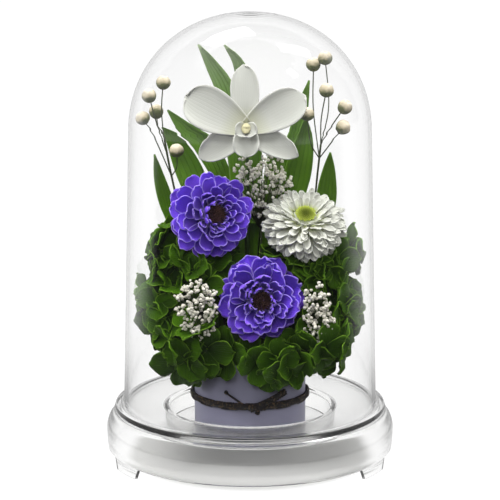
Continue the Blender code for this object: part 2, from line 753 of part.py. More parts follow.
def make_bud_spray(name, route, twigs):
    """Round buds on thin twigs; a twig is its fork along the stem, a bend and a bud."""
    knee, foot = route[-2:]
    points = smooth_route(route[:-1], 2) + [foot]
    stem = tube(points, SPRAY_STEM_RADIUS, resolution=0)
    plant(knee, foot, SPRAY_STEM_RADIUS)
    pieces = []
    for fork, bend, bud in twigs:
        pieces.append(tube([points[fork], bend, bud], TWIG_RADIUS, resolution=0))
        pieces.append(ball(bud, [BUD_RADIUS] * 3, around=6, levels=4))
    remember(fused(name, stem, pieces, BUD))


def make_bud_sprays():
    """Two sprays of round buds, high on the left and on the right."""
    make_bud_spray(
        "buds_left",
        [mm(-45, 3, 172), mm(-41, 3, 150), mm(-35, 2, 126), mm(-24, -1, 98),
         mm(-14, -2, 78), mm(-12, -2, STEM_FOOT)],
        [(0, mm(-46, 4, 185), mm(-45, 4, 199)),
         (1, mm(-49, 1, 180), mm(-52, -2, 193)),
         (2, mm(-50, -1, 172), mm(-55.5, -3, 181.5)),
         (0, mm(-48, 6, 176), mm(-49, 9, 183)),
         (2, mm(-38, -2, 156), mm(-38, -5, 165))])
    make_bud_spray(
        "buds_right",
        [mm(37, 7, 166), mm(35.5, 10, 150), mm(33, 12, 128), mm(26, 12.5, 106),
         mm(15, 9, 78), mm(13.5, 7.5, STEM_FOOT)],
        [(1, mm(33, 8, 185), mm(33, 8, 208)),
         (0, mm(41, 7, 186), mm(39, 7, 211.5)),
         (0, mm(37, 3, 180), mm(39.5, 1, 195.5)),
         (1, mm(31.5, 2, 168), mm(29.5, -2, 183.5)),
         (0, mm(42, 2, 176), mm(49, -1, 187)),
         (1, mm(42, 0, 168), mm(48, -4, 177))])


# Baby's breath

TINY_FLOWER_RADIUS = 1.5 * MM
STALK_RADII = (0.36 * MM, 0.30 * MM)     # at the hub and at the flower
HUB_RADIUS = 1.6 * MM
SPRAY_TRIES = 8


def make_spray(name, hub, knee, foot, centre, radii, count, seed):
    """A cloud of tiny flowers, each on its own hair-thin stalk from the hub."""
    rng = random.Random(seed)
    stem = tube([hub, knee, foot], SPRAY_STEM_RADIUS)
    plant(knee, foot, SPRAY_STEM_RADIUS)
    pieces = [ball(hub, [HUB_RADIUS] * 3, around=6, levels=4)]
    still = Matrix()
    for direction in spread_directions(count):
        for _ in range(SPRAY_TRIES):
            spot = centre + stretched(direction, radii) * rng.uniform(0.55, 1.0)
            stalk = rod(hub, spot, *STALK_RADII, sides=3)
            flower = ball(spot, [TINY_FLOWER_RADIUS] * 3, around=4, levels=2)
            fits = is_clear(stalk, still) and is_clear(flower, still)
            if fits and inside_dome(flower, still):
                pieces += [stalk, flower]
                break
    remember(fused(name, stem, pieces, BABYS_BREATH))


def make_sprays():
    """Three clouds of baby's breath: low on both sides, and high in the middle."""
    make_spray("babys_breath_left", mm(-24, -29, 82), mm(-16, -13, 72),
               mm(-14, -10, STEM_FOOT), mm(-27, -38, 89), mm(11, 6, 16), 9, 5)
    make_spray("babys_breath_right", mm(31, -27, 80), mm(17, -12, 72),
               mm(15, -9, STEM_FOOT), mm(34, -36, 86), mm(9, 6, 16), 9, 6)
    make_spray("babys_breath_back", mm(6, 2, 122), mm(5, 4, 80),
               mm(4.5, 3.5, STEM_FOOT), mm(6, -3, 145), mm(19, 7, 17), 10, 7)


# Hydrangea bunches

FLORET_RADIUS = 14.5 * MM
FLORET_POINTS = 12           # points round its outline, three to a lobe
FLORET_RUFFLE = 0.16
FLORET_STALK_RADIUS = 0.9 * MM
BUNCH_STEM_RADIUS = 1.0 * MM
BUNCH_MIDDLE = 88 * MM       # bunches look outward from the pot's axis at this height
BUNCH_DIRECTIONS = 14        # directions that a bunch tries for its florets
BUNCH_BACK = -0.25           # florets that would look further inward are left out
BUNCH_TRIES = 40             # places tried in a direction, each floret a little smaller
BUNCH_SHRINK = 0.988


def floret(radius, cup, wave, phase):
    """Four blunt-pointed lobes round a low middle, with a ruffled edge."""
    bm = bmesh.new()
    bmesh.ops.create_circle(bm, cap_ends=True, cap_tris=True, segments=FLORET_POINTS,
                            radius=1,
                            matrix=Matrix.Rotation(math.pi / FLORET_POINTS, 4, "Z"))
    rim = [vert for vert in bm.verts if vert.co.length > 0.5]
    for vert in rim:
        angle = math.atan2(vert.co.y, vert.co.x)
        reach = 0.55 + 0.52 * abs(math.cos(2 * angle))
        ruffle = wave * math.sin(3 * angle + phase) * reach
        vert.co = Vector((math.cos(angle) * reach, math.sin(angle) * reach,
                          cup * reach ** 1.5 + ruffle)) * radius
    thicken(bm, PETAL_THICKNESS)
    return bm


def bunch_core(centre, radii, foot):
    """The bunch's small core on its straight stem."""
    core = ball(centre, radii, around=6, levels=5)
    return core, rod(centre, foot, BUNCH_STEM_RADIUS, sides=5)


def crosses(bm, others):
    """True if a piece cuts any of the pieces that its own node already has."""
    tree = BVHTree.FromBMesh(bm)
    return any(tree.overlap(other) for other in others)


def make_bunch(name, centre, radii, foot, count, droop, seed):
    """Florets crowded round one core, on a straight stem that stands in the foam."""
    rng = random.Random(seed)
    core, stem = bunch_core(centre, radii, foot)
    plant(centre.lerp(foot, 0.35), foot, BUNCH_STEM_RADIUS)
    outward = Vector((centre.x, centre.y, (centre.z - BUNCH_MIDDLE) * 0.8)).normalized()
    pieces = [stem]
    placed = []
    still = Matrix()
    for direction in spread_directions(BUNCH_DIRECTIONS, turn=seed):
        if direction.dot(outward) < BUNCH_BACK or len(placed) == count:
            continue
        surface = centre + stretched(direction, radii)
        for attempt in range(BUNCH_TRIES):
            size = FLORET_RADIUS * rng.uniform(0.88, 1.1) * BUNCH_SHRINK ** attempt
            lean = Vector((rng.uniform(-1, 1), rng.uniform(-1, 1), rng.uniform(-1, 1)))
            normal = (direction + outward * 0.5 + lean * 0.55).normalized()
            hang = Vector((outward.x, outward.y, -1.6)) * droop * rng.uniform(0.5, 1)
            middle = surface + direction * rng.uniform(2, 9) * MM + hang
            cup = rng.uniform(0.15, 0.4)
            piece = floret(size, cup, FLORET_RUFFLE, rng.uniform(0, math.tau))
            spin = Matrix.Rotation(rng.uniform(0, math.tau), 4, "Z")
            piece.transform(aimed(middle, normal) @ spin)
            stalk = rod(surface - direction * 1.5 * MM, middle, FLORET_STALK_RADIUS, sides=3)
            fits = is_clear(piece, still) and is_clear(stalk, still)
            if fits and inside_dome(piece, still) and not crosses(piece, placed):
                pieces += [piece, stalk]
                placed.append(BVHTree.FromBMesh(piece))
                break
    remember(fused(name, core, pieces, HYDRANGEA, smooth_angle=50))


# name, core centre, core radii, foot in the foam (all in mm), most florets, droop
BUNCHES = (
    ("hydrangea_front", (5, -21.5, 71), (12, 4.5, 4.5), (4.5, -18, STEM_FOOT), 5, 8),
    ("hydrangea_front_left", (-26, -21, 69), (9, 7, 6), (-12, -14, STEM_FOOT), 5, 4),
    ("hydrangea_front_right", (29, -20, 70.5), (8, 7, 6), (13, -14.5, STEM_FOOT), 5, 4),
    ("hydrangea_left_low", (-40, -4, 82), (8, 10, 9), (-17, -5, STEM_FOOT), 4, 0),
    ("hydrangea_left_high", (-37, -2, 108), (7, 8, 8), (-19, -1, STEM_FOOT), 3, 0),
    ("hydrangea_right_low", (41, -3, 80), (8, 10, 9), (18.5, -5, STEM_FOOT), 4, 0),
    ("hydrangea_right_high", (38, -1, 105), (7, 8, 7), (19, 0, STEM_FOOT), 4, 0),
    ("hydrangea_middle_left", (-20, -14, 103), (8, 4, 5), (-11, -9, STEM_FOOT), 3, 0),
    ("hydrangea_middle_right", (25, -13, 103), (8, 4, 5), (11, -9, STEM_FOOT), 3, 0),
    ("hydrangea_back_left", (-26, 25, 82), (10, 9, 12), (-12, 14, STEM_FOOT), 3, 0),
    ("hydrangea_back", (1, 35, 84), (10, 8, 12), (0, 18, STEM_FOOT), 3, 0),
    ("hydrangea_back_right", (28, 25, 82), (10, 9, 12), (12, 14, STEM_FOOT), 3, 0),
    ("hydrangea_back_high", (-1, 29, 113), (12, 6, 8), (-4, 17, STEM_FOOT), 2, 0),
)


def make_bunches():
    """Reserve every bunch's core and stem first, then fit the florets round them."""
    for name, centre, radii, foot, _, _ in BUNCHES:
        core, stem = bunch_core(mm(*centre), mm(*radii), mm(*foot))
        NEIGHBOURS[name + "_core"] = BVHTree.FromBMesh(core)
        NEIGHBOURS[name + "_stem"] = BVHTree.FromBMesh(stem)
    for seed, (name, centre, radii, foot, count, droop) in enumerate(BUNCHES, start=1):
        del NEIGHBOURS[name + "_core"]
        del NEIGHBOURS[name + "_stem"]
        make_bunch(name, mm(*centre), mm(*radii), mm(*foot), count, droop * MM, seed)


def make_arrangement():
    """Everything in order, the foam last because it takes every stem's hole."""
    remember(make_dome())
    remember(make_base())
    remember(make_pot())
    remember(make_cord())
    make_dahlias()
    make_mum()
    make_orchid()
    make_leaves()
    make_bud_sprays()
    make_sprays()
    blank = remember(turned("foam_blank", foam_profile(), FOAM))
    make_bunches()
    bpy.data.objects.remove(blank)
    make_foam()


make_arrangement()
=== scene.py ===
# %% [markdown]
# # Preserved flowers under a clear dome
# The real thing is a small lavender pot of preserved flowers: two violet dahlias,
# a white orchid, a white chrysanthemum, long leaves, bud sprays, baby's breath and
# a skirt of green hydrangea. The pot stands in a moulded clear base, and a clear
# dome rests on that base. The solid model gives the frame, and every piece here
# takes the place of the plain solid with the same job, at a finer scale.

# %% Load the frame
import json
import math
import random

import bmesh
import bpy
from mathutils import Matrix, Vector
from mathutils.bvhtree import BVHTree

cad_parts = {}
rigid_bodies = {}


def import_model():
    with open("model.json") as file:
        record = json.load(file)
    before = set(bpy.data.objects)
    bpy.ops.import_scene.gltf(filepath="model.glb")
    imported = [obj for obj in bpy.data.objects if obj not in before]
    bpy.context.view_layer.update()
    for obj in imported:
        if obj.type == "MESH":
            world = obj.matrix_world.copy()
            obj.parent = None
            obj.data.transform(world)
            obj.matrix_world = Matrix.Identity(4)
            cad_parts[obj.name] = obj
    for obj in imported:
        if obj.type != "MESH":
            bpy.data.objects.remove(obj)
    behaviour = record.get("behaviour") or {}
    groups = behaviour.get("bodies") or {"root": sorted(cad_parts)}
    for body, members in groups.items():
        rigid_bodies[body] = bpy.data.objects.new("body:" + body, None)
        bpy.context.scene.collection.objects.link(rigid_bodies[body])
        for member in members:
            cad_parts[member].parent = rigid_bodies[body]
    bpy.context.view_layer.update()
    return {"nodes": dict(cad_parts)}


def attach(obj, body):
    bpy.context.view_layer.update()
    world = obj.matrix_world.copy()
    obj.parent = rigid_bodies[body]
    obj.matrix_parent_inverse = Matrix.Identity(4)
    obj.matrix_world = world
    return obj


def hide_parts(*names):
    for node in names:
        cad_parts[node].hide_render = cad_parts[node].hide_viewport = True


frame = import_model()
MM = 0.001


def mm(x, y, z):
    """A point given in millimetres."""
    return Vector((x, y, z)) * MM


# %% [markdown]
# ## The camera
# The picture was taken with a long lens from a little above, so the base's rim
# shows as a flat ellipse and the sides hardly converge. A camera 1.25 m in front
# with a focal length of 176 mm gives the same ellipses.

# %% Camera
CAMERA_DISTANCE = 1.25
CAMERA_HEIGHT = 0.3916
CAMERA_PITCH = 12.65
CAMERA_LENS = 175.95
SENSOR_WIDTH = 36


def add_object(name, data):
    """A new object in the scene that shows the given data."""
    made = bpy.data.objects.new(name, data)
    bpy.context.scene.collection.objects.link(made)
    return made


camera = add_object("camera", bpy.data.cameras.new("camera"))
camera.location = (0, -CAMERA_DISTANCE, CAMERA_HEIGHT)
camera.rotation_euler = (math.radians(90 - CAMERA_PITCH), 0, 0)
camera.data.sensor_width = SENSOR_WIDTH
camera.data.lens = CAMERA_LENS
bpy.context.scene.camera = camera
print("camera at", tuple(round(c, 3) for c in camera.location))

# %% [markdown]
# ## Shader helpers
# Every finish below is a small network of the same few nodes, so they get short
# helpers first: a number, a blend of two colours, and a node group with its own
# named sockets. One helper makes any node and fills its inputs, and the others
# are built on it.

# %% Node helpers
def fill(tree, node, values):
    """Link a node's inputs to sockets, or set them, by name or number."""
    for key, value in values.items():
        socket = node.inputs[key]
        if isinstance(value, bpy.types.NodeSocket):
            tree.links.new(value, socket)
        elif socket.type == "RGBA":
            socket.default_value = (*value, 1)
        else:
            socket.default_value = value


def new_node(tree, kind, values, **settings):
    """A new shader node with its settings made and its inputs filled."""
    made = tree.nodes.new("ShaderNode" + kind)
    for key, value in settings.items():
        setattr(made, key, value)
    fill(tree, made, values)
    return made


def maths(tree, operation, *values):
    """A Math node between numbers or sockets, and its output."""
    return new_node(tree, "Math", dict(enumerate(values)), operation=operation).outputs[0]


def mix_colour(tree, share, first, second):
    """A colour between two colours or sockets, by a share."""
    return new_node(tree, "Mix", {0: share, 6: first, 7: second}, data_type="RGBA").outputs[2]


def coordinate(tree, kind):
    """The shaded point's Object or UV coordinate."""
    return new_node(tree, "TexCoord", {}).outputs[kind]


def across_and_along(tree, kind):
    """The X and Y of the shaded point's Object or UV coordinate."""
    parts = new_node(tree, "SeparateXYZ", {0: coordinate(tree, kind)}).outputs
    return parts["X"], parts["Y"]


def noise(tree, place, scale, detail=2.0):
    """A Noise texture's value at a place."""
    values = {"Vector": place, "Scale": scale, "Detail": detail}
    return new_node(tree, "TexNoise", values).outputs["Fac"]


def attribute(tree, name):
    """The value of a mesh attribute."""
    return new_node(tree, "Attribute", {}, attribute_name=name).outputs["Fac"]


def relief(tree, shader, height, strength, depth=0.0004):
    """Press a height into a shader's surface as a bump."""
    bump = new_node(tree, "Bump", {"Strength": strength, "Distance": depth, "Height": height})
    fill(tree, shader, {"Normal": bump.outputs[0]})


# %% Finish and group helpers
def new_finish(name, roughness):
    """A new material, its node tree and its Principled shader."""
    finish = bpy.data.materials.new(name)
    finish.use_nodes = True
    shader = finish.node_tree.nodes["Principled BSDF"]
    shader.inputs["Roughness"].default_value = roughness
    return finish, finish.node_tree, shader


def new_group(name, inputs):
    """A node group with value inputs and one Mask output, and its two end nodes."""
    group = bpy.data.node_groups.new(name, "ShaderNodeTree")
    for label, value in inputs.items():
        group.interface.new_socket(label, in_out="INPUT",
                                   socket_type="NodeSocketFloat").default_value = value
    group.interface.new_socket("Mask", in_out="OUTPUT", socket_type="NodeSocketFloat")
    return group, group.nodes.new("NodeGroupInput"), group.nodes.new("NodeGroupOutput")


def use_group(tree, group, **values):
    """Place a node group in a material with its own numbers, and give its mask."""
    return new_node(tree, "Group", values, node_tree=group).outputs["Mask"]


# %% [markdown]
# ## Floor and light
# Clear plastic is only seen by what it bends and mirrors. The picture was taken
# before pure white, with a dark room in front, so the dome shows no haze and its
# edges stay pale. Floor, backdrop and room copy that: white where the camera sees
# them straight or through the plastic. In mirror images the floor is white behind
# the object, close round it and far off, and dark in between. Right under the
# base the floor is plain paper, so the pot's shade shows in the skirt.

# %% Stage helpers
def by_path(tree, values):
    """One value where the camera looks, one in mirror images, one as light."""
    seen, mirrored, lighting = values
    path = new_node(tree, "LightPath", {}).outputs
    glossy = maths(tree, "MINIMUM", path["Glossy Depth"], 1.0)
    diffuse = maths(tree, "MINIMUM", path["Diffuse Depth"], 1.0)
    straight = maths(tree, "MULTIPLY_ADD", glossy, maths(tree, "SUBTRACT", mirrored, seen), seen)
    change = maths(tree, "SUBTRACT", lighting, straight)
    return maths(tree, "MULTIPLY_ADD", diffuse, change, straight)


def spread(tree, value, limits):
    """A smooth step from zero to one between two limits."""
    values = {"Value": value, "From Min": limits[0], "From Max": limits[1]}
    return new_node(tree, "MapRange", values, interpolation_type="SMOOTHSTEP").outputs["Result"]


def mesh_of(bm, name):
    """A new mesh with what a bmesh holds; the bmesh is used up."""
    mesh = bpy.data.meshes.new(name)
    bm.to_mesh(mesh)
    bm.free()
    return mesh


def staged(name, bm, finish):
    """Put a bmesh in the scene as part of the stage."""
    made = add_object(name, mesh_of(bm, name))
    made.data.materials.append(finish)


# %% Floor
FLOOR_RADIUS = 9.0
SEEN_GLOW = 1.03
MIRRORED_GLOW = 0.80
LIGHTING_GLOW = 0.08
# where each change on the floor starts and ends, in metres from the middle
SHADE_EDGE = (0.060, 0.068)
BEHIND_EDGE = (-0.02, 0.24)
NEAR_EDGE = (0.11, 0.17)
FAR_EDGE = (1.2, 1.8)

floor_finish, tree, shader = new_finish("white_paper", 0.9)
across, deep = across_and_along(tree, "Object")
distance = maths(tree, "SQRT", maths(tree, "ADD", maths(tree, "POWER", across, 2.0),
                                     maths(tree, "POWER", deep, 2.0)))
clear_of_base = spread(tree, distance, SHADE_EDGE)
behind = spread(tree, deep, BEHIND_EDGE)
near = maths(tree, "SUBTRACT", 1.0, spread(tree, distance, NEAR_EDGE))
far = spread(tree, distance, FAR_EDGE)
white_part = maths(tree, "MAXIMUM", behind, maths(tree, "MAXIMUM", near, far))
glow = by_path(tree, (maths(tree, "MULTIPLY", clear_of_base, SEEN_GLOW),
                      maths(tree, "MULTIPLY", MIRRORED_GLOW, white_part), LIGHTING_GLOW))
paper = mix_colour(tree, clear_of_base, (0.50, 0.50, 0.49), (0.03, 0.03, 0.03))
fill(tree, shader, {"Base Color": paper, "Specular IOR Level": 0.0,
                    "Emission Color": (1, 1, 1), "Emission Strength": glow})
floor_bm = bmesh.new()
bmesh.ops.create_circle(floor_bm, cap_ends=True, segments=96, radius=FLOOR_RADIUS)
staged("floor", floor_bm, floor_finish)
print("floor radius", FLOOR_RADIUS, "m")

# %% Backdrop and room
BACKDROP_DISTANCE = 2.6
BACKDROP_HALF_WIDTH = 3.5
BACKDROP_HALF_HEIGHT = 1.3
ROOM_GLOW = (1.0, 0.45, 0.16)

backdrop_finish, tree, shader = new_finish("white_backdrop", 0.9)
glow = by_path(tree, (SEEN_GLOW, MIRRORED_GLOW, LIGHTING_GLOW))
fill(tree, shader, {"Base Color": (0.05, 0.05, 0.05), "Emission Color": (1, 1, 1),
                    "Emission Strength": glow})
backdrop_bm = bmesh.new()
bmesh.ops.create_grid(backdrop_bm, x_segments=1, y_segments=1, size=1)
for vert in backdrop_bm.verts:
    vert.co = Vector((vert.co.x * BACKDROP_HALF_WIDTH, BACKDROP_DISTANCE,
                      (1 + vert.co.y) * BACKDROP_HALF_HEIGHT))
staged("backdrop", backdrop_bm, backdrop_finish)

world = bpy.data.worlds.new("dark_room")
world.use_nodes = True
tree = world.node_tree
fill(tree, tree.nodes["Background"], {"Color": (1, 1, 1), "Strength": by_path(tree, ROOM_GLOW)})
bpy.context.scene.world = world
print("backdrop at", BACKDROP_DISTANCE, "m, room glow", ROOM_GLOW)

# %% [markdown]
# ## Lamps
# Three lamps hang above the dome, behind and beside it, and show on it as pale
# patches. Four large panels light the flowers. They are kept out of mirror images
# and of what shows through the plastic, because they would lay a haze on the dome.

# %% Lamps
LOOKED_AT = Vector((0, 0, 0.12))


def soft_lamp(name, place, size, power, mirrored):
    """A soft lamp that looks at the object's middle, and shows in mirror images or not."""
    data = bpy.data.lights.new(name, "AREA")
    data.shape = "RECTANGLE"
    data.size, data.size_y = size
    data.energy = power
    lamp = add_object(name, data)
    lamp.location = place
    lamp.rotation_euler = (LOOKED_AT - Vector(place)).to_track_quat("-Z", "Y").to_euler()
    lamp.visible_glossy = mirrored
    lamp.visible_transmission = mirrored


# name, place, size, power
LAMPS = (
    ("top_lamp", (-0.27, 0.62, 1.32), (0.62, 0.34), 3.2),
    ("right_lamp", (0.62, 0.40, 1.32), (0.22, 0.50), 1.8),
    ("small_lamp", (0.74, -0.28, 1.27), (0.13, 0.20), 0.6),
)
PANELS = (
    ("sky_panel", (-0.20, -0.30, 1.60), (0.8, 0.8), 33.0),
    ("left_panel", (-1.20, -0.35, 0.75), (0.5, 0.7), 11.0),
    ("right_panel", (1.20, -0.30, 0.75), (0.5, 0.7), 8.0),
    ("front_panel", (-0.20, -1.60, 0.95), (0.5, 0.5), 9.0),
)
for lamps, mirrored in ((LAMPS, True), (PANELS, False)):
    for values in lamps:
        soft_lamp(*values, mirrored)

scene = bpy.context.scene
scene.view_settings.view_transform = "Standard"
scene.cycles.max_bounces = 20
scene.cycles.transmission_bounces = 20
scene.cycles.transparent_max_bounces = 40
scene.cycles.sample_clamp_indirect = 4

# %% [markdown]
# ## Turning a bmesh into a piece
# Every piece is built in a bmesh at its real place, so its object stays at the
# origin. One helper stores the mesh, gives it its finish, hides the solids it
# stands for, hangs it on the root body and prints its count of faces. Thin petals
# are single sheets until a Solidify modifier gives them their thickness.

# %% Piece helper
made_pieces = []


def piece_from(bm, name, finish, nodes, thickness=0.0):
    """Store a bmesh as a finished piece that stands for the named solids."""
    piece = add_object(name, mesh_of(bm, name))
    piece.data.materials.append(finish)
    piece.data.shade_smooth()
    if thickness:
        wall = piece.modifiers.new("Thickness", "SOLIDIFY")
        wall.thickness = thickness
        wall.offset = 0
    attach(piece, "root")
    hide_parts(*nodes)
    made_pieces.append(piece)
    print(name, "faces:", len(piece.data.polygons))
    return piece


# %% [markdown]
# ## Shader building blocks
# Petals, leaves and florets share three effects: slow patches of lighter and
# darker colour, veins that run from the root to the tip, and a lighter rim, a
# painted highlight where the edge would catch the light. Each effect is one node
# group, so all plants use the same network with their own numbers.

# %% Patches: slow variation of colour
patches, ends_in, ends_out = new_group("patches", {"Scale": 100.0, "Contrast": 0.5})
cloud = noise(patches, coordinate(patches, "Object"), ends_in.outputs["Scale"], 3.0)
mask = maths(patches, "MULTIPLY", cloud, ends_in.outputs["Contrast"])
fill(patches, ends_out, {"Mask": mask})
print("patches nodes:", len(patches.nodes))

# %% Veins: thin lines from root to tip, along the piece's own UV map
veins, ends_in, ends_out = new_group("veins", {"Count": 9.0, "Wander": 0.4})
across, along = across_and_along(veins, "UV")
drift = noise(veins, coordinate(veins, "UV"), 4.0)
bend = maths(veins, "MULTIPLY", drift, ends_in.outputs["Wander"])
lines = maths(veins, "MULTIPLY_ADD", across, ends_in.outputs["Count"], bend)
saw = maths(veins, "MULTIPLY", maths(veins, "PINGPONG", lines, 0.5), 2.0)
mask = maths(veins, "POWER", maths(veins, "SUBTRACT", 1.0, saw), 5.0)
fill(veins, ends_out, {"Mask": mask})
print("veins nodes:", len(veins.nodes))

# %% Rim: a mask that is one at a petal's edge, where a painted highlight goes
highlight_rim, ends_in, ends_out = new_group("highlight_rim", {"Width": 0.12})
across, along = across_and_along(highlight_rim, "UV")
sides = maths(highlight_rim, "MULTIPLY_ADD", across, 2.0, -1.0)
nearest = maths(highlight_rim, "MAXIMUM", maths(highlight_rim, "ABSOLUTE", sides), along)
start = maths(highlight_rim, "SUBTRACT", 1.0, ends_in.outputs["Width"])
highlight_edge = maths(highlight_rim, "DIVIDE", maths(highlight_rim, "SUBTRACT", nearest, start), ends_in.outputs["Width"])
mask = maths(highlight_rim, "POWER", maths(highlight_rim, "MAXIMUM", highlight_edge, 0.0), 1.5)
fill(highlight_rim, ends_out, {"Mask": mask})
print("groups:", [group.name for group in bpy.data.node_groups])

# %% [markdown]
# ## One finish for every petal and leaf
# A petal is darkest at its root, lightest at its rim and uneven in between. The
# light rim is a painted highlight, and in the dahlias and hydrangea florets the
# dark root is painted shade where the petals crowd. The finish mixes those
# colours by the UV map, which runs across and along each petal, and presses the
# veins into the surface as a bump.

# %% Petal finish
def petal_finish(name, root, body, highlight_edge, veins_count=9.0, vein_shade=0.3, rim_highlight_width=0.12,
                 rim_highlight_share=0.8, root_length=0.45, roughness=0.6, sheen=0.0, bump=0.3,
                 patch_scale=120.0, patch_share=0.5, gloss=0.5):
    """A finish from root, body and edge colours; the edge colour is a painted highlight."""
    finish, tree, shader = new_finish(name, roughness)
    across, along = across_and_along(tree, "UV")
    dark = [part * 0.5 for part in body]
    # the root colour near the root: painted shade in the dahlias and hydrangea florets, the
    # flower's own colour in the others
    climb = maths(tree, "MINIMUM", maths(tree, "DIVIDE", along, root_length), 1.0)
    colour = mix_colour(tree, climb, root, body)
    cloud = use_group(tree, patches, Scale=patch_scale, Contrast=patch_share)
    colour = mix_colour(tree, cloud, colour, dark)
    lines = use_group(tree, veins, Count=veins_count)
    colour = mix_colour(tree, maths(tree, "MULTIPLY", lines, vein_shade), colour, dark)
    # a lighter colour along the rim: a painted highlight
    rim_highlight = use_group(tree, highlight_rim, Width=rim_highlight_width)
    colour = mix_colour(tree, maths(tree, "MULTIPLY", rim_highlight, rim_highlight_share), colour, highlight_edge)
    lit = maths(tree, "MULTIPLY_ADD", attribute(tree, "tint"), 0.6, 0.7)
    shaded = new_node(tree, "VectorMath", {0: colour, "Scale": lit}, operation="SCALE")
    grain = noise(tree, coordinate(tree, "Object"), 900.0)
    height = maths(tree, "MULTIPLY_ADD", grain, 0.4, maths(tree, "MULTIPLY", lines, -1.0))
    relief(tree, shader, height, bump)
    fill(tree, shader, {"Base Color": shaded.outputs[0], "Sheen Weight": sheen,
                        "Specular IOR Level": gloss})
    return finish


LEAF_SKIN = dict(veins_count=5.0, roughness=0.34, bump=0.5, patch_share=0.7)

# the dark root colour is painted shade deep in the dahlia's ball, and the pale edge colour a
# painted highlight
violet_petal = petal_finish("violet_petal", (0.020, 0.006, 0.11), (0.24, 0.095, 0.97),
                            (0.58, 0.46, 0.98), vein_shade=0.4, rim_highlight_width=0.14, rim_highlight_share=0.6,
                            sheen=0.2, root_length=0.75)
white_petal = petal_finish("white_petal", (0.46, 0.52, 0.14), (0.66, 0.67, 0.60),
                           (0.76, 0.77, 0.71), vein_shade=0.12, root_length=0.35,
                           patch_share=0.12, bump=0.08)
orchid_petal = petal_finish("orchid_petal", (0.48, 0.49, 0.33), (0.55, 0.56, 0.51),
                            (0.63, 0.63, 0.59), veins_count=13.0, vein_shade=0.07,
                            root_length=0.25, patch_share=0.10, roughness=0.5,
                            patch_scale=60.0, bump=0.15)
# the near-black root colour is painted shade where the lobes meet, and the light edge colour a
# painted highlight
green_floret = petal_finish("green_floret", (0.005, 0.022, 0.001), (0.055, 0.140, 0.004),
                            (0.19, 0.36, 0.030), veins_count=11.0, vein_shade=0.45,
                            rim_highlight_width=0.10, rim_highlight_share=0.6, roughness=0.55, bump=0.6, gloss=0.2,
                            root_length=0.7, patch_scale=90.0, patch_share=0.6)
green_leaf = petal_finish("green_leaf", (0.10, 0.22, 0.018), (0.13, 0.30, 0.018),
                          (0.22, 0.42, 0.06), vein_shade=0.75, rim_highlight_width=0.10, rim_highlight_share=0.4,
                          patch_scale=55.0, **LEAF_SKIN)
faded_leaf = petal_finish("faded_leaf", (0.40, 0.46, 0.33), (0.13, 0.30, 0.018),
                          (0.34, 0.46, 0.18), vein_shade=0.6, rim_highlight_share=0.5,
                          patch_scale=70.0, root_length=0.22, **LEAF_SKIN)
print("finishes so far:", [finish.name for finish in bpy.data.materials])


# %% Grainy finish for discs, the orchid's column, stems, baby's breath and foam
def grainy_finish(name, dark, light, scale, roughness=0.8, bump=0.5, tinted=0.0):
    """A rough finish between two colours, in small grains and by each piece's tint."""
    finish, tree, shader = new_finish(name, roughness)
    cloud = use_group(tree, patches, Scale=scale, Contrast=1.0)
    share = cloud
    if tinted:
        share = maths(tree, "MULTIPLY_ADD", attribute(tree, "tint"), tinted,
                      maths(tree, "MULTIPLY", cloud, 1 - tinted))
    fill(tree, shader, {"Base Color": mix_colour(tree, share, dark, light)})
    relief(tree, shader, cloud, bump)
    return finish


dark_disc = grainy_finish("dark_disc", (0.010, 0.003, 0.008), (0.20, 0.10, 0.07), 900.0,
                          tinted=0.7)
lime_disc = grainy_finish("lime_disc", (0.05, 0.07, 0.004), (0.55, 0.64, 0.10), 700.0,
                          tinted=0.85)
cream_column = grainy_finish("cream_column", (0.46, 0.43, 0.22), (0.72, 0.68, 0.46), 350.0, 0.45)
stem_tape = grainy_finish("stem_tape", (0.03, 0.07, 0.015), (0.10, 0.19, 0.05), 300.0)
dry_twig = grainy_finish("dry_twig", (0.025, 0.035, 0.02), (0.10, 0.12, 0.06), 500.0)
tiny_flower = grainy_finish("tiny_flower", (0.58, 0.55, 0.43), (0.95, 0.93, 0.86), 600.0)
foam_grain = grainy_finish("foam_grain", (0.03, 0.06, 0.02), (0.12, 0.19, 0.07), 1500.0)
print("finishes:", len(bpy.data.materials))

# %% [markdown]
# ## Clear plastic
# Dome and base are moulded clear plastic. A glass shader bends and mirrors light,
# but it would leave the flowers in shadow, so shadow rays pass straight through.
# Where the wall is seen edge-on the plastic is thicker and looks grey, which
# Layer Weight gives from any side.

# %% Clear finish
def clear_finish(name, face_colour, edge_colour, bending, haze):
    """A clear plastic that greys where it is seen edge-on."""
    finish, tree, shader = new_finish(name, haze)
    facing = new_node(tree, "LayerWeight", {"Blend": 0.5}).outputs["Facing"]
    steep = maths(tree, "POWER", facing, 4.0)
    fill(tree, shader, {"Transmission Weight": 1.0, "IOR": bending,
                        "Base Color": mix_colour(tree, steep, face_colour, edge_colour),
                        "Roughness": use_group(tree, patches, Scale=25.0, Contrast=haze * 2)})
    in_shadow = new_node(tree, "LightPath", {}).outputs["Is Shadow Ray"]
    see_through = new_node(tree, "BsdfTransparent", {"Color": (0.96, 0.96, 0.96)}).outputs[0]
    choose = new_node(tree, "MixShader", {0: in_shadow, 1: shader.outputs[0], 2: see_through})
    fill(tree, tree.nodes["Material Output"], {"Surface": choose.outputs[0]})
    return finish


clear_dome = clear_finish("clear_dome", (1.0, 1.0, 1.0), (0.97, 0.97, 0.97),
                          bending=1.40, haze=0.01)
clear_base = clear_finish("clear_base", (0.98, 0.98, 0.975), (0.93, 0.935, 0.935),
                          bending=1.45, haze=0.10)
print("clear finishes:", clear_dome.name, clear_base.name)

# %% [markdown]
# ## Turned shapes
# Dome, base and pot are round, so each is a profile turned round its axis. A
# point close to each end of every long run keeps the run flat under smooth
# shading, so the plastic bends light as a straight wall does.

# %% Turned pieces
HOLD = 0.6 * MM


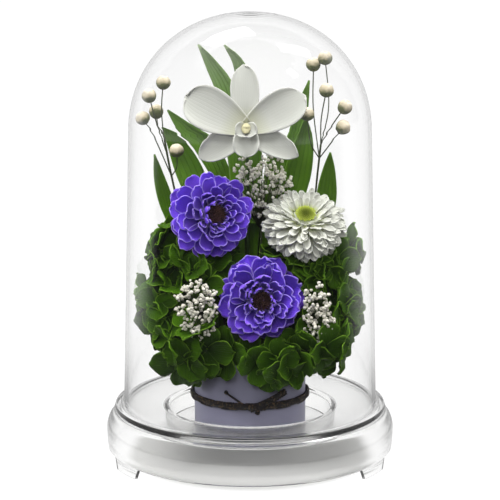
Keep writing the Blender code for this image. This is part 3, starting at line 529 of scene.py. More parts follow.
def held(profile):
    """A profile with a point close to each end of its long runs, to keep them flat."""
    points = [profile[0]]
    for start, end in zip(profile, profile[1:]):
        run = Vector(end) - Vector(start)
        if run.length > 6 * HOLD:
            points.append(tuple(Vector(start) + run.normalized() * HOLD))
            points.append(tuple(Vector(end) - run.normalized() * HOLD))
        points.append(end)
    return points


def turned(profile, steps=128):
    """A bmesh turned round Z from a (radius, height) profile, closed at its poles."""
    bm = bmesh.new()
    points = [bm.verts.new((radius, 0, height)) for radius, height in held(profile)]
    chain = [bm.edges.new(pair) for pair in zip(points, points[1:])]
    bmesh.ops.spin(bm, geom=points + chain, axis=(0, 0, 1), cent=(0, 0, 0),
                   angle=math.tau, steps=steps, use_merge=True)
    bmesh.ops.remove_doubles(bm, verts=bm.verts, dist=0.000005)
    bmesh.ops.recalc_face_normals(bm, faces=bm.faces)
    return bm


def arc(centre, radius, start, end, steps):
    """Profile points along a round corner; angles in degrees from straight out."""
    points = []
    for step in range(steps + 1):
        angle = math.radians(start + (end - start) * step / steps)
        points.append((centre[0] + radius * math.cos(angle),
                       centre[1] + radius * math.sin(angle)))
    return points


# %% [markdown]
# ## Dome
# The dome is blown from one sheet: a long wall that leans in slightly, a crown a
# little fuller than half an ellipse, and a cut rim. A profile turned round the
# axis gives exactly this, with an inner wall 1.8 mm inside the outer one.

# %% Dome
TOTAL_HEIGHT = 236.0 * MM
SEAT_HEIGHT = 28.0 * MM
DOME_FOOT_RADIUS = 66.8 * MM
DOME_SPRING_RADIUS = 63.2 * MM
DOME_SPRING_HEIGHT = 174.0 * MM
DOME_RISE = TOTAL_HEIGHT - DOME_SPRING_HEIGHT
DOME_FULLNESS = 2.08
DOME_WALL = 1.8 * MM
RIM_HEIGHT = SEAT_HEIGHT + 0.3 * MM
CROWN_STEPS = 28


def crown(radius, height):
    """The crown's profile, from the top down to the spring line."""
    curve = []
    for index in range(CROWN_STEPS + 1):
        angle = math.pi / 2 * index / CROWN_STEPS
        curve.append((radius * math.sin(angle) ** (2 / DOME_FULLNESS),
                      DOME_SPRING_HEIGHT + height * math.cos(angle) ** (2 / DOME_FULLNESS)))
    return curve


def dome_side(inset, rim_turn):
    """One face of the dome's wall, from the top down to its slightly turned rim."""
    foot_radius = DOME_FOOT_RADIUS - inset
    return crown(DOME_SPRING_RADIUS - inset, DOME_RISE - inset) + [
        (foot_radius, RIM_HEIGHT + 0.5 * MM), (foot_radius + rim_turn, RIM_HEIGHT)]


def dome_inner_radius(height):
    """The inner wall's radius at a height, for fitting the flowers."""
    if height < DOME_SPRING_HEIGHT:
        rise = (height - SEAT_HEIGHT) / (DOME_SPRING_HEIGHT - SEAT_HEIGHT)
        return DOME_FOOT_RADIUS + (DOME_SPRING_RADIUS - DOME_FOOT_RADIUS) * rise - DOME_WALL
    rise = min((height - DOME_SPRING_HEIGHT) / DOME_RISE, 1)
    return DOME_SPRING_RADIUS * (1 - rise ** DOME_FULLNESS) ** (1 / DOME_FULLNESS) - DOME_WALL


dome_profile = dome_side(0, -0.4 * MM) + dome_side(DOME_WALL, 0.4 * MM)[::-1]
piece_from(turned(dome_profile), "dome_clear", clear_dome, ["dome"])

# %% [markdown]
# ## Base
# The base is moulded from the same plastic: a recess for the pot, a ledge with a
# lip round the dome's rim, a round shoulder and a skirt with three feet. The
# profile follows the solid's, with its corners rounded as a mould rounds them.
# The feet are made on their own and joined to it, so the plastic is one piece.

# %% Base profile and feet
BASE_RADIUS = 76.0 * MM
BASE_WALL = 2.2 * MM
FOOT_HEIGHT = 5.5 * MM
FOOT_HALF_ANGLE = math.radians(10)
FOOT_SLOPE = math.radians(2.5)
FOOT_PLACES = (-30, 90, 210)


def at(radius, height):
    """A profile point in millimetres."""
    return (radius * MM, height * MM)


base_profile = [
    at(0, 18.0), at(40.8, 18.0),
    *arc(at(41.0, 19.2), 1.2 * MM, -90, -10, 4),
    at(42.7, 26.6), *arc(at(44.2, 26.7), 1.3 * MM, 170, 90, 4),
    at(66.6, 28.0), at(67.3, 28.1), at(67.7, 28.6),
    *arc(at(68.9, 28.0), 1.2 * MM, 150, 90, 3), *arc(at(70.4, 28.2), 1.0 * MM, 90, 20, 4),
    at(72.0, 26.0), at(72.5, 24.9), at(73.4, 23.3), at(74.4, 21.9), at(75.2, 20.2),
    at(75.7, 18.6), at(76.0, 16.8), at(75.9, 13.0), at(75.6, 8.5), at(75.3, 6.0),
    at(74.9, 5.5), at(73.5, 5.5), at(73.1, 6.0), at(73.5, 10.0), at(73.8, 16.4),
    at(73.3, 18.6), at(72.5, 20.6), at(71.4, 22.6), at(70.2, 24.9), at(69.0, 25.8),
    at(46.0, 25.8), at(45.2, 25.0), at(44.7, 17.0), at(43.6, 15.8), at(0, 15.8),
]


def foot(middle_angle):
    """A curved foot below the skirt, wider at the top than on the ground."""
    bm = bmesh.new()
    inner, outer = BASE_RADIUS - BASE_WALL - 0.6 * MM, BASE_RADIUS - 0.9 * MM
    top = FOOT_HEIGHT + 1.0 * MM
    corners = [bm.verts.new((radius, 0, height))
               for radius, height in ((inner, 0), (outer, 0), (outer, top), (inner, top))]
    start = bm.faces.new(corners)
    bmesh.ops.rotate(bm, verts=corners, matrix=Matrix.Rotation(-FOOT_HALF_ANGLE, 3, "Z"))
    bmesh.ops.spin(bm, geom=[start, *start.edges, *start.verts], axis=(0, 0, 1),
                   cent=(0, 0, 0), angle=2 * FOOT_HALF_ANGLE, steps=16)
    for vert in bm.verts:
        if vert.co.z < top / 2:
            angle = math.atan2(vert.co.y, vert.co.x)
            vert.co = Matrix.Rotation(-FOOT_SLOPE * angle / FOOT_HALF_ANGLE, 3, "Z") @ vert.co
    bmesh.ops.rotate(bm, verts=bm.verts, matrix=Matrix.Rotation(middle_angle, 3, "Z"))
    bmesh.ops.recalc_face_normals(bm, faces=bm.faces)
    return bm


print("profile points:", len(base_profile), "feet:", len(FOOT_PLACES))

# %% Base in one piece
def evaluated_mesh(made):
    """A new mesh of an object with its modifiers or bevel applied."""
    bpy.context.view_layer.update()
    graph = bpy.context.evaluated_depsgraph_get()
    return bpy.data.meshes.new_from_object(made.evaluated_get(graph))


feet = bpy.data.collections.new("feet")
for angle in FOOT_PLACES:
    foot_mesh = mesh_of(foot(math.radians(angle)), "foot")
    feet.objects.link(bpy.data.objects.new("foot", foot_mesh))
base = piece_from(turned(base_profile, steps=144), "base_clear", clear_base,
                  ["base"])
join = base.modifiers.new("Feet", "BOOLEAN")
join.operation = "UNION"
join.operand_type = "COLLECTION"
join.collection = feet
join.solver = "MANIFOLD"
joined = evaluated_mesh(base)
base.modifiers.clear()
base.data = joined
joined.name = "base_clear"
joined.set_sharp_from_angle(angle=math.radians(40))
for piece in list(feet.objects):
    bpy.data.objects.remove(piece)
bpy.data.collections.remove(feet)
print("base faces with its feet:", len(base.data.polygons))

# %% [markdown]
# ## Pot
# The pot is a plain cylinder with a smooth lavender skin and softly rounded rims.
# Fine speckles and a slow change of tone keep it from looking like paint.

# %% Pot
POT_RADIUS = 29.4
POT_BOTTOM = 18.3
POT_RIM = 60.3
POT_BORE = 27.8
POT_FLOOR = 20.5

pot_finish, tree, shader = new_finish("lavender_skin", 0.42)
cloud = use_group(tree, patches, Scale=35.0, Contrast=0.8)
speck = use_group(tree, patches, Scale=1400.0, Contrast=0.6)
skin = mix_colour(tree, cloud, (0.29, 0.285, 0.40), (0.23, 0.23, 0.31))
fill(tree, shader, {"Base Color": mix_colour(tree, speck, skin, (0.33, 0.32, 0.44))})
relief(tree, shader, speck, 0.15, 0.0002)


def refinish(node, finish):
    """Give a solid that stays in the scene its finish."""
    node.data.materials.clear()
    node.data.materials.append(finish)


pot_profile = [
    at(0, POT_FLOOR), at(POT_BORE - 0.8, POT_FLOOR), at(POT_BORE, POT_FLOOR + 0.8),
    *arc(at(POT_BORE + 0.8, POT_RIM - 0.8), 0.8 * MM, 180, 0, 8),
    *arc(at(POT_RADIUS - 1.0, POT_BOTTOM + 1.0), 1.0 * MM, 0, -90, 5),
    at(0, POT_BOTTOM),
]
piece_from(turned(pot_profile, steps=96), "pot_skin", pot_finish, ["pot"])
refinish(frame["nodes"]["foam"], foam_grain)

# %% [markdown]
# ## Braided cord
# The cord is a flat braid that lies on the pot, tied once at the front. Its
# strands go round the cord in both directions and pass over and under each
# other. Each strand is a thin tube whose middle line is a flattened helix round
# the cord's own route.

# %% Braid helpers
STRANDS = 5
STRAND_SHARE = 0.26
CORE_SHARE = 0.5
WEAVE = 0.22
CORD_FLATNESS = 0.38


def strand(route, offset, direction, turns, strand_radius, cord_radius):
    """Points of one strand: a helix round a closed or open route."""
    points = []
    last = len(route) - 1
    for index in range(last + 1):
        ahead = (route[min(index + 1, last)] - route[max(index - 1, 0)]).normalized()
        side = ahead.cross(Vector((0, 0, 1))).normalized()
        lift = side.cross(ahead)
        angle = offset + direction * math.tau * turns * index / last
        weave = 1 + WEAVE * direction * math.cos(STRANDS * angle / 2)
        reach = (cord_radius - strand_radius) * weave
        points.append(route[index] + (side * math.cos(angle) * CORD_FLATNESS
                                      + lift * math.sin(angle)) * reach)
    return points


def tube(bm, points, radius, sides=6):
    """Add a closed tube along points to a bmesh, as a bevelled curve."""
    curve = bpy.data.curves.new("tube", "CURVE")
    curve.dimensions = "3D"
    curve.bevel_depth = radius
    curve.bevel_resolution = max((sides - 4) // 2, 0)
    curve.use_fill_caps = True
    spline = curve.splines.new("POLY")
    spline.points.add(len(points) - 1)
    for target, point in zip(spline.points, points):
        target.co = (*point, 1)
    guide = add_object("tube", curve)
    mesh = evaluated_mesh(guide)
    bpy.data.objects.remove(guide)
    first = len(bm.verts)
    bm.from_mesh(mesh)
    bpy.data.meshes.remove(mesh)
    bm.verts.ensure_lookup_table()
    bmesh.ops.remove_doubles(bm, verts=bm.verts[first:], dist=0.000002)


def braid(bm, route, cord_radius, turns):
    """Add a braid along a route: a core and strands in both directions."""
    strand_radius = cord_radius * STRAND_SHARE
    tube(bm, route, cord_radius * CORE_SHARE)
    for direction in (-1, 1):
        for index in range(STRANDS):
            offset = math.tau * index / STRANDS
            tube(bm, strand(route, offset, direction, turns, strand_radius, cord_radius),
                 strand_radius, 4)


def round_pot(angle, height, stand_off):
    """A point round the pot: its angle from the front, height and stand-off in mm."""
    radius = (POT_RADIUS + 0.3 + stand_off) * MM
    return Vector((radius * math.sin(angle), -radius * math.cos(angle), height * MM))


# %% Cord
CORD_RADIUS = 2.0
CORD_STAND_OFF = 0.85
CORD_HEIGHT = 34.5
RING_POINTS = 420
TAIL_STEP = 0.75


def tail(side, reach, slope, stand_off):
    """A tail's route from the knot: its side, reach in degrees, rise for each degree."""
    angles = [side * step * TAIL_STEP for step in range(round(reach / TAIL_STEP) + 1)]
    return [round_pot(math.radians(angle), CORD_HEIGHT - 1 + abs(angle) * slope, stand_off)
            for angle in angles]


def knot_point(angle):
    """A point of the small loop that ties the cord in front."""
    middle = round_pot(angle * 0.04, CORD_HEIGHT - 1.5, 2.2)
    return middle + mm(2.1 * math.sin(angle), -0.5 * math.cos(angle), 1.6 * math.cos(angle))


cord_bm = bmesh.new()
ring = [round_pot(math.tau * index / RING_POINTS, CORD_HEIGHT, CORD_STAND_OFF)
        for index in range(RING_POINTS + 1)]
braid(cord_bm, ring, CORD_RADIUS * MM, 26)
braid(cord_bm, tail(1, 36, 0.222, CORD_STAND_OFF + 0.9), CORD_RADIUS * 0.9 * MM, 3.0)
thin_tail = tail(-1, 24, 0.335, 0.8)
braid(cord_bm, thin_tail, 0.6 * MM, 4)
tail_end = bmesh.ops.create_uvsphere(cord_bm, u_segments=12, v_segments=8, radius=1.1 * MM)
bmesh.ops.translate(cord_bm, verts=tail_end["verts"], vec=thin_tail[-1] + mm(0, -0.4, 0.2))
braid(cord_bm, [knot_point(math.radians(angle)) for angle in range(0, 361, 12)], 1.15 * MM, 4)

cord_finish, tree, shader = new_finish("dark_braid", 0.6)
dash = use_group(tree, patches, Scale=1100.0, Contrast=1.0)
tan = maths(tree, "GREATER_THAN", dash, 0.59)
fill(tree, shader, {"Base Color": mix_colour(tree, tan, (0.007, 0.005, 0.006),
                                             (0.13, 0.085, 0.045))})
relief(tree, shader, dash, 0.4, 0.0002)
piece_from(cord_bm, "cord_braid", cord_finish, ["cord"])

# %% [markdown]
# ## How a petal is bent
# All petals and leaves start as a flat grid, and one function bends it. Across,
# the petal rolls into a gutter; along, it curls up or down; at the edge it
# ruffles. Working along arcs keeps the petal's real length and width, so it
# bends like a leaf and isn't stretched like rubber.

# %% Bent lines
LINE_STEPS = 16


def bent_line(curl, hook):
    """Points and angles along a line of length one: a curl all along, a hook at its end."""
    line = [(0.0, 0.0, 0.0)]
    for step in range(LINE_STEPS):
        along = (step + 0.5) / LINE_STEPS
        angle = curl * along + hook * along ** 3
        out, up, _ = line[-1]
        line.append((out + math.cos(angle) / LINE_STEPS, up + math.sin(angle) / LINE_STEPS, angle))
    return line


def read_line(line, along):
    """The point and angle at a share of a bent line."""
    place = min(along, 0.9999) * LINE_STEPS
    index = int(place)
    share = place - index
    return [start + (end - start) * share for start, end in zip(line[index], line[index + 1])]


# %% Petal surface
def outline(along, root, peak, tip):
    """Share of the full width at a share of the length, with a round tip."""
    if along < peak:
        return root + (1 - root) * math.sin(math.pi / 2 * along / peak)
    past = (along - peak) / (1 - peak)
    return tip + (1 - tip) * math.sqrt(max(1 - past ** 2, 0))


def petal_surface(length, width, root=0.3, peak=0.65, tip=0.1, cup=0.3, roll=0.6, curl=0.0,
                  hook=0.0, blunt=0.05, ruffle=0.0, waves=3.0, phase=0.0, spoon=0.0):
    """A function that gives the petal's point across (-1 to 1) and along (0 to 1)."""
    spine = bent_line(curl, hook)
    rib = bent_line(cup, roll)

    def point(across, along):
        half = width / 2 * outline(along, root, peak, tip)
        side, lift, _ = read_line(rib, abs(across))
        out, up, turn = read_line(spine, along)
        wave = ruffle * length * across ** 2 * along
        rise = lift * half * (1 - spoon * along ** 3)
        rise += wave * math.sin(waves * math.pi * along + phase + 1.5 * across)
        rise += ruffle * length * along ** 4 * math.sin(waves * across + phase)
        pull = blunt * length * along ** 3 * across ** 2
        out = out * length - pull * math.cos(turn) - rise * math.sin(turn)
        up = up * length - pull * math.sin(turn) + rise * math.cos(turn)
        return Vector((math.copysign(side, across) * half, out, up))
    return point


# %% Blades
def new_blades():
    """A bmesh ready for blades, with their UV map and their tint."""
    bm = bmesh.new()
    bm.loops.layers.uv.new("blade")
    bm.verts.layers.float.new("tint")
    return bm


def add_blade(bm, surface, columns, rows, pose, tint=0.5, tip_rows=1.5):
    """Add a grid whose points follow a surface function, with more rows at its tip."""
    layer = bm.verts.layers.float["tint"]
    made = bmesh.ops.create_grid(bm, x_segments=columns, y_segments=rows, size=1,
                                 calc_uvs=True)
    for vert in made["verts"]:
        along = 1 - (1 - (vert.co.y + 1) / 2) ** tip_rows
        vert.co = pose @ surface(vert.co.x, along)
        vert[layer] = tint
    return made["verts"]


def aimed(start, direction):
    """A pose at a point whose +Z looks along a direction, its +Y kept upward."""
    turn = Vector(direction).to_track_quat("Z", "Y").to_matrix().to_4x4()
    return Matrix.Translation(start) @ turn


# %% [markdown]
# ## Dahlias
# A ball dahlia is rings of spoon-shaped petals: the outer ones lean back, the
# inner ones get shorter, stand up and roll in, round a dark disc of seed
# florets. Eight rings of their own count, tilt and size give the full ball.

# %% Petal rings
def ring_of_petals(bm, pose, ring, rng, **shape):
    """Petals round a bloom: count, root radius and height, tilt, size, roll, curl, hook."""
    count, root_radius, root_height, tilt, length, width, roll, curl, hook = ring
    shift = rng.uniform(0, 1)
    for index in range(count):
        angle = math.tau * (index + shift) / count + rng.uniform(-0.16, 0.16)
        size = rng.uniform(0.90, 1.07)
        surface = petal_surface(length * size * MM, width * rng.uniform(0.9, 1.1) * MM,
                                roll=roll * rng.uniform(0.75, 1.2),
                                curl=curl + rng.uniform(-0.15, 0.15),
                                hook=hook + rng.uniform(-0.25, 0.25),
                                phase=rng.uniform(0, math.tau), **shape)
        lean = Matrix.Rotation(math.radians(tilt + rng.uniform(-8, 8)), 4, "X")
        twist = Matrix.Rotation(rng.uniform(-0.35, 0.35), 4, "Y")
        place = (pose @ Matrix.Rotation(angle, 4, "Z")
                 @ Matrix.Translation(mm(0, root_radius, root_height)) @ lean @ twist)
        add_blade(bm, surface, 8, 10, place, rng.uniform(0.1, 0.9))


def stretched(direction, radii):
    """A direction stretched by three radii in millimetres."""
    return Vector([part * radius * MM for part, radius in zip(direction, radii)])


def add_core(bm, pose, radii):
    """Add the bloom's hidden core, which every petal is rooted in."""
    made = bmesh.ops.create_uvsphere(bm, u_segments=24, v_segments=12, radius=1)
    for vert in made["verts"]:
        vert.co = pose @ stretched(vert.co, radii)


# count, root radius, root height, tilt, length, width, roll, curl, hook
DAHLIA_RINGS = (
    (11, 7.0, -3.8, -38, 15.0, 12.0, 0.5, -0.45, 1.2),
    (12, 7.2, -2.2, -20, 15.8, 12.0, 0.6, -0.35, 1.3),
    (12, 7.2, -0.4, -2, 15.2, 11.6, 0.8, -0.25, 1.4),
    (11, 7.0, 1.3, 16, 13.6, 10.6, 1.1, -0.15, 1.4),
    (10, 6.6, 2.8, 34, 11.2, 9.0, 1.5, -0.05, 1.2),
    (9, 6.2, 4.0, 50, 9.0, 7.2, 2.1, 0.05, 1.0),
    (8, 5.8, 5.0, 65, 7.0, 5.4, 2.8, 0.10, 0.8),
    (8, 5.4, 5.7, 79, 5.2, 4.0, 3.2, 0.15, 0.6),
)
BLOOM_CORE = (8.4, 8.4, 6.0)
PETAL_WALL = 0.35 * MM


def dahlia(node, centre, facing, fineness, ruffle, seed):
    """Make a dahlia's petals round its core, narrower in a finer one, and give its pose."""
    rng = random.Random(seed)
    pose = aimed(centre, facing)
    bm = new_blades()
    add_core(bm, pose, BLOOM_CORE)
    for count, radius, height, tilt, length, width, *bends in DAHLIA_RINGS:
        ring = (round(count * fineness), radius, height, tilt, length, width / fineness, *bends)
        ring_of_petals(bm, pose, ring, rng, root=0.35, peak=0.62, tip=0.32, cup=0.25,
                       blunt=0.02, ruffle=ruffle, spoon=0.75)
    piece_from(bm, node + "_bloom", violet_petal, [node + "_petals"], PETAL_WALL)
    return pose


DAHLIA_POSES = {
    "dahlia_upper": dahlia("dahlia_upper", mm(-19.5, -20, 134), (0.32, -0.92, 0.24),
                           fineness=1.12, ruffle=0.03, seed=11),
    "dahlia_lower": dahlia("dahlia_lower", mm(5.6, -32, 92.5), (0.05, -0.99, 0.12),
                           fineness=0.88, ruffle=0.06, seed=23),
}

# %% [markdown]
# ## Dahlia discs
# The eye is a tight cushion of dark tube florets, some tipped with tan pollen.
# They sit in a spiral with the golden angle between one and the next, which
# packs them as evenly as the plant does.

# %% Disc of florets
GOLDEN_ANGLE = math.radians(137.5)
DISC_RADIUS = 4.8


def disc_florets(node, pose, finish, tints, floor_height, rise, count, length):
    """A cushion of tiny florets in a golden-angle spiral; tints gives each its shade."""
    bm = new_blades()
    layer = bm.verts.layers.float["tint"]
    for index in range(count):
        share = math.sqrt((index + 0.5) / count)
        angle = index * GOLDEN_ANGLE
        out = Vector((math.cos(angle), math.sin(angle), 0)) * share
        height = floor_height + rise * (1 - share ** 2)
        spot = (out * DISC_RADIUS + Vector((0, 0, height))) * MM
        stand = aimed(spot, out * 0.7 + Vector((0, 0, 1)))
        made = bmesh.ops.create_cone(bm, cap_ends=True, segments=6, radius1=0.45 * MM,
                                     radius2=0.32 * MM, depth=length * MM,
                                     matrix=pose @ stand)
        for vert in made["verts"]:
            vert[layer] = tints(share)
    piece_from(bm, node + "_eye", finish, [node + "_disc"])


disc_rng = random.Random(3)
for node, pose in DAHLIA_POSES.items():
    disc_florets(node, pose, dark_disc, lambda share: disc_rng.random() ** 3,
                 floor_height=6.2, rise=1.6, count=90, length=2.6)

# %% [markdown]
# ## Chrysanthemum
# This bloom is a flat cushion of narrow white petals with ragged tips round a
# lime eye. Eight rings of narrow petals make the cushion, and a ruffle at the
# tips breaks up its edge.

# %% Chrysanthemum
RAGGED_RINGS = (
    (24, 8.0, -3.8, -44, 11.0, 4.6, 1.0, -0.70, -0.5),
    (28, 8.0, -2.6, -27, 12.8, 4.8, 0.9, -0.40, 0.2),
)
SMOOTH_RINGS = (
    (30, 8.0, -1.2, -13, 14.2, 4.8, 0.7, -0.15, 0.2),
    (30, 7.8, 0.2, -3, 14.4, 4.8, 0.7, -0.10, 0.2),
    (30, 7.4, 1.4, 6, 13.2, 4.4, 0.8, -0.05, 0.2),
    (28, 7.0, 2.5, 16, 11.2, 4.0, 0.9, 0.00, 0.2),
    (24, 6.4, 3.5, 28, 8.8, 3.4, 1.0, 0.05, 0.2),
    (20, 5.8, 4.5, 44, 6.0, 2.8, 1.2, 0.10, 0.1),
)
MUM_POSE = aimed(mm(28.2, -16, 129.5), (0.05, -0.57, 0.82))
mum_bm = new_blades()
add_core(mum_bm, MUM_POSE, BLOOM_CORE)
mum_rng = random.Random(37)
for rings, ruffle in ((RAGGED_RINGS, 0.10), (SMOOTH_RINGS, 0.02)):
    for ring in rings:
        ring_of_petals(mum_bm, MUM_POSE, ring, mum_rng, root=0.45, peak=0.7, tip=0.3, cup=0.15,
                       blunt=0.05, ruffle=ruffle, waves=5.0)
piece_from(mum_bm, "chrysanthemum_bloom", white_petal, ["chrysanthemum_petals"],
           0.3 * MM)
disc_florets("chrysanthemum", MUM_POSE, lime_disc, lambda share: share ** 2,
             floor_height=6.0, rise=0.8, count=110, length=2.2)

# %% [markdown]
# ## Orchid
# The orchid has three narrow sepals behind, two broad petals in front of them, a
# lip of three lobes that hangs forward, and a cream column in the middle: a small
# hood over a round cap. Petals and hood are bent grids, fine enough for soft
# waves and faint veins.

# %% Orchid
ORCHID_POSE = aimed(mm(-2, -14, 178), (0.0, -0.98, 0.2))
# angle round the face, length, width, layer, roll, curl, hook, peak
ORCHID_PARTS = (
    (92, 33.5, 15.5, -0.9, 0.5, -0.10, -0.2, 0.58),
    (212, 28.5, 15.0, -0.9, 0.5, 0.15, -0.3, 0.50),
    (332, 30.5, 14.0, -0.9, 0.5, 0.10, 0.2, 0.40),
    (152, 36.5, 23.5, 0.9, 0.4, -0.20, -0.2, 0.62),
    (29, 35.5, 20.5, 0.9, 0.4, -0.18, -0.2, 0.60),
)
orchid_bm = new_blades()
for number, (angle, length, width, layer, roll, curl, hook, peak) in enumerate(ORCHID_PARTS):
    surface = petal_surface(length * MM, width * MM, root=0.4, peak=peak, cup=0.25, roll=roll,
                            curl=curl, hook=hook, ruffle=0.012, waves=2.0, phase=number * 1.7)
    turn = (Matrix.Translation(mm(0, 0, layer))
            @ Matrix.Rotation(math.radians(angle - 90), 4, "Z"))
    add_blade(orchid_bm, surface, 14, 24, ORCHID_POSE @ turn, 0.5)
# angle round the face, tilt, length, width of the lip's lobes
LIP_LOBES = ((180, 34, 16.0, 15.0), (118, 66, 9.5, 9.5), (242, 66, 9.5, 9.5))
for angle, tilt, length, width in LIP_LOBES:
    surface = petal_surface(length * MM, width * MM, root=0.5, peak=0.62, cup=0.5, roll=0.5,
                            curl=-0.5, hook=-0.2, ruffle=0.04, waves=4.0)
    turn = (Matrix.Translation(mm(0, 0, 1.5)) @ Matrix.Rotation(math.radians(angle), 4, "Z")
            @ Matrix.Rotation(math.radians(tilt), 4, "X"))
    add_blade(orchid_bm, surface, 10, 14, ORCHID_POSE @ turn, 0.45)
piece_from(orchid_bm, "orchid_bloom", orchid_petal, ["orchid_petals"], 0.5 * MM)

# %% Orchid column
column_bm = new_blades()
hood = petal_surface(8.5 * MM, 6.4 * MM, root=0.7, peak=0.5, tip=0.3, cup=0.6, roll=1.7,
                     curl=0.7, hook=0.9, ruffle=0.03)
hood_pose = (ORCHID_POSE @ Matrix.Translation(mm(0, 2.6, 2.0))
             @ Matrix.Rotation(math.radians(100), 4, "X"))
add_blade(column_bm, hood, 12, 14, hood_pose, 0.5)
cap_verts = bmesh.ops.create_uvsphere(column_bm, u_segments=20, v_segments=12, radius=1)["verts"]
for vert in cap_verts:
    across, up, out = vert.co
    vert.co = ORCHID_POSE @ mm(across * 2.2, up * 1.5 - 0.4 * across ** 2 + 0.3, out * 2.8 + 4.6)
piece_from(column_bm, "orchid_heart", cream_column, ["orchid_column"], 0.5 * MM)

# %% [markdown]
# ## Long leaves
# The leaves are ribbons with parallel veins. Each runs from its tip along a
# smooth route to a stalk that stands in the foam, and is hollowed a little along
# its middle.

# %% Leaf routes
STEM_FOOT = 54.0
LEAVES = (
    ("leaf_top_left", ((-27, 12, 218), (-20, 13, 207), (-12, 13, 191), (-7, 12, 160),
                       (-5, 9, 110), (-4.5, 7, 76), (-4, 6, STEM_FOOT)), 11.5, (0.2, -1, 0.1)),
    ("leaf_top_middle", ((-13.5, 17, 217), (-6, 18, 207), (-2, 18, 190), (2, 17, 155),
                         (2, 14, 110), (0, 12, 76), (0, 10, STEM_FOOT)), 10.5, (-0.1, -1, 0.1)),
    ("leaf_upper_left", ((-43, 8, 184), (-34, 9, 174), (-24, 10, 165), (-14, 11, 145),
                         (-9, 11, 110), (-8, 10.5, 76), (-7.5, 10, STEM_FOOT)), 11.5,
     (0.1, -1, 0.3)),
    ("leaf_left", ((-46, 9, 175), (-39, 9, 166), (-32, 8, 152), (-24, 7, 132),
                   (-14, 6, 100), (-11, 5.5, 76), (-10, 5, STEM_FOOT)), 14.5, (0.2, -1, 0.1)),
    ("leaf_far_left", ((-50, 6, 161), (-47, 7, 146), (-42, 8, 130), (-32, 7, 108),
                       (-19, 4, 84), (-15.5, 2.5, 74), (-13.5, 2, STEM_FOOT)), 8.0,
     (0.3, -1, 0.1)),
    ("leaf_top_right", ((31, 16, 198.5), (28, 16, 186), (25, 15, 172), (18, 14, 145),
                        (9, 12.5, 105), (6, 12, 76), (5.5, 11, STEM_FOOT)), 9.0,
     (-0.1, -1, 0.1)),
    ("leaf_right", ((29, 8, 180), (28.5, 9, 168), (25.5, 10, 152), (21, 10, 132),
                    (13, 9, 102), (10.5, 8, 76), (9.5, 7.5, STEM_FOOT)), 14.0, (-0.1, -1, 0.1)),
    ("leaf_far_right", ((42, 6, 162), (41, 7, 148), (39, 8, 132), (31, 7, 108),
                        (18, 4.5, 84), (15, 3.5, 74), (13, 3, STEM_FOOT)), 11.0,
     (-0.1, -1, 0.1)),
    ("leaf_middle", ((11, 7, 168), (13, 7, 158), (13, 6.5, 142), (10, 7, 112),
                     (5, 7.5, 88), (3.5, 7.5, 76), (3, 7, STEM_FOOT)), 13.5, (0, -1, 0.1)),
)
FADED_LEAVES = ("leaf_top_left", "leaf_top_middle")


def smooth_route(points, steps):
    """Points along a smooth curve through the given ones."""
    route = []
    ends = [points[0] * 2 - points[1], *points, points[-1] * 2 - points[-2]]
    for before, start, end, after in zip(ends, ends[1:], ends[2:], ends[3:]):
        for step in range(steps):
            t = step / steps
            route.append(0.5 * (
                2 * start + (end - before) * t
                + (2 * before - 5 * start + 4 * end - after) * t ** 2
                + (3 * start - before - 3 * end + after) * t ** 3))
    route.append(points[-1])
    return route


print("leaf routes:", len(LEAVES))

# %% Leaves
LEAF_COLUMNS = 8
LEAF_ROWS = 48
STALK = 0.9 * MM
WIDEST = 0.25
BLADE_END = 0.80
HOLLOW = 0.30
WAVE = 0.06
WAVES = 30


def leaf_surface(route, width, facing):
    """A ribbon from its tip along a route, narrowing to its stalk."""
    face = Vector(facing).normalized()
    last = len(route) - 1
    lengths = [0.0]
    for here, ahead in zip(route, route[1:]):
        lengths.append(lengths[-1] + (ahead - here).length)

    def point(across, along):
        goal = along * lengths[-1]
        index = max(i for i in range(last) if lengths[i] <= goal)
        share = (goal - lengths[index]) / (lengths[index + 1] - lengths[index])
        here = route[index].lerp(route[index + 1], share)
        ahead = (route[index + 1] - route[index]).normalized()
        side = face.cross(ahead).normalized()
        if along < WIDEST:
            shape = math.sin(math.pi / 2 * along / WIDEST) ** 0.75
        else:
            shape = max(1 - (along - WIDEST) / (BLADE_END - WIDEST), 0) ** 0.6
        half = max(width / 2 * shape, STALK / 2)
        hollow = HOLLOW * (half - STALK / 2) * (1 - across ** 2)
        wave = WAVE * half * math.sin(along * WAVES) * across
        return here + side * half * across - face * (hollow + wave)
    return point


for name, points, width, facing in LEAVES:
    leaf_bm = new_blades()
    route = smooth_route([mm(*point) for point in points], 10)
    add_blade(leaf_bm, leaf_surface(route, width * MM, facing), LEAF_COLUMNS, LEAF_ROWS,
              Matrix(), tip_rows=1)
    finish = faded_leaf if name in FADED_LEAVES else green_leaf
    piece_from(leaf_bm, name + "_blade", finish, [name], 0.45 * MM)

# %% [markdown]
# ## Bud sprays
# Flax-like seed buds: round cream heads, browner towards the calyx, on hair-thin
# dark stalks that branch from one stem.

# %% Bud finish
bud_finish, tree, shader = new_finish("cream_bud", 0.65)
blotch = use_group(tree, patches, Scale=450.0, Contrast=0.5)
level = maths(tree, "ADD", attribute(tree, "tint"), maths(tree, "SUBTRACT", blotch, 0.25))
ramp = new_node(tree, "ValToRGB", {0: level})
stops = ramp.color_ramp.elements
stops.new(0.95)
for stop, position, colour in zip(stops, (0.42, 0.66, 0.95),
                                  ((0.10, 0.12, 0.04), (0.56, 0.49, 0.33), (0.72, 0.64, 0.50))):
    stop.position = position
    stop.color = (*colour, 1)
fill(tree, shader, {"Base Color": ramp.outputs[0]})
relief(tree, shader, blotch, 0.5, 0.0003)
print("bud stops:", [round(stop.position, 2) for stop in stops])

# %% Buds
BUD_RADIUS = 3.8 * MM
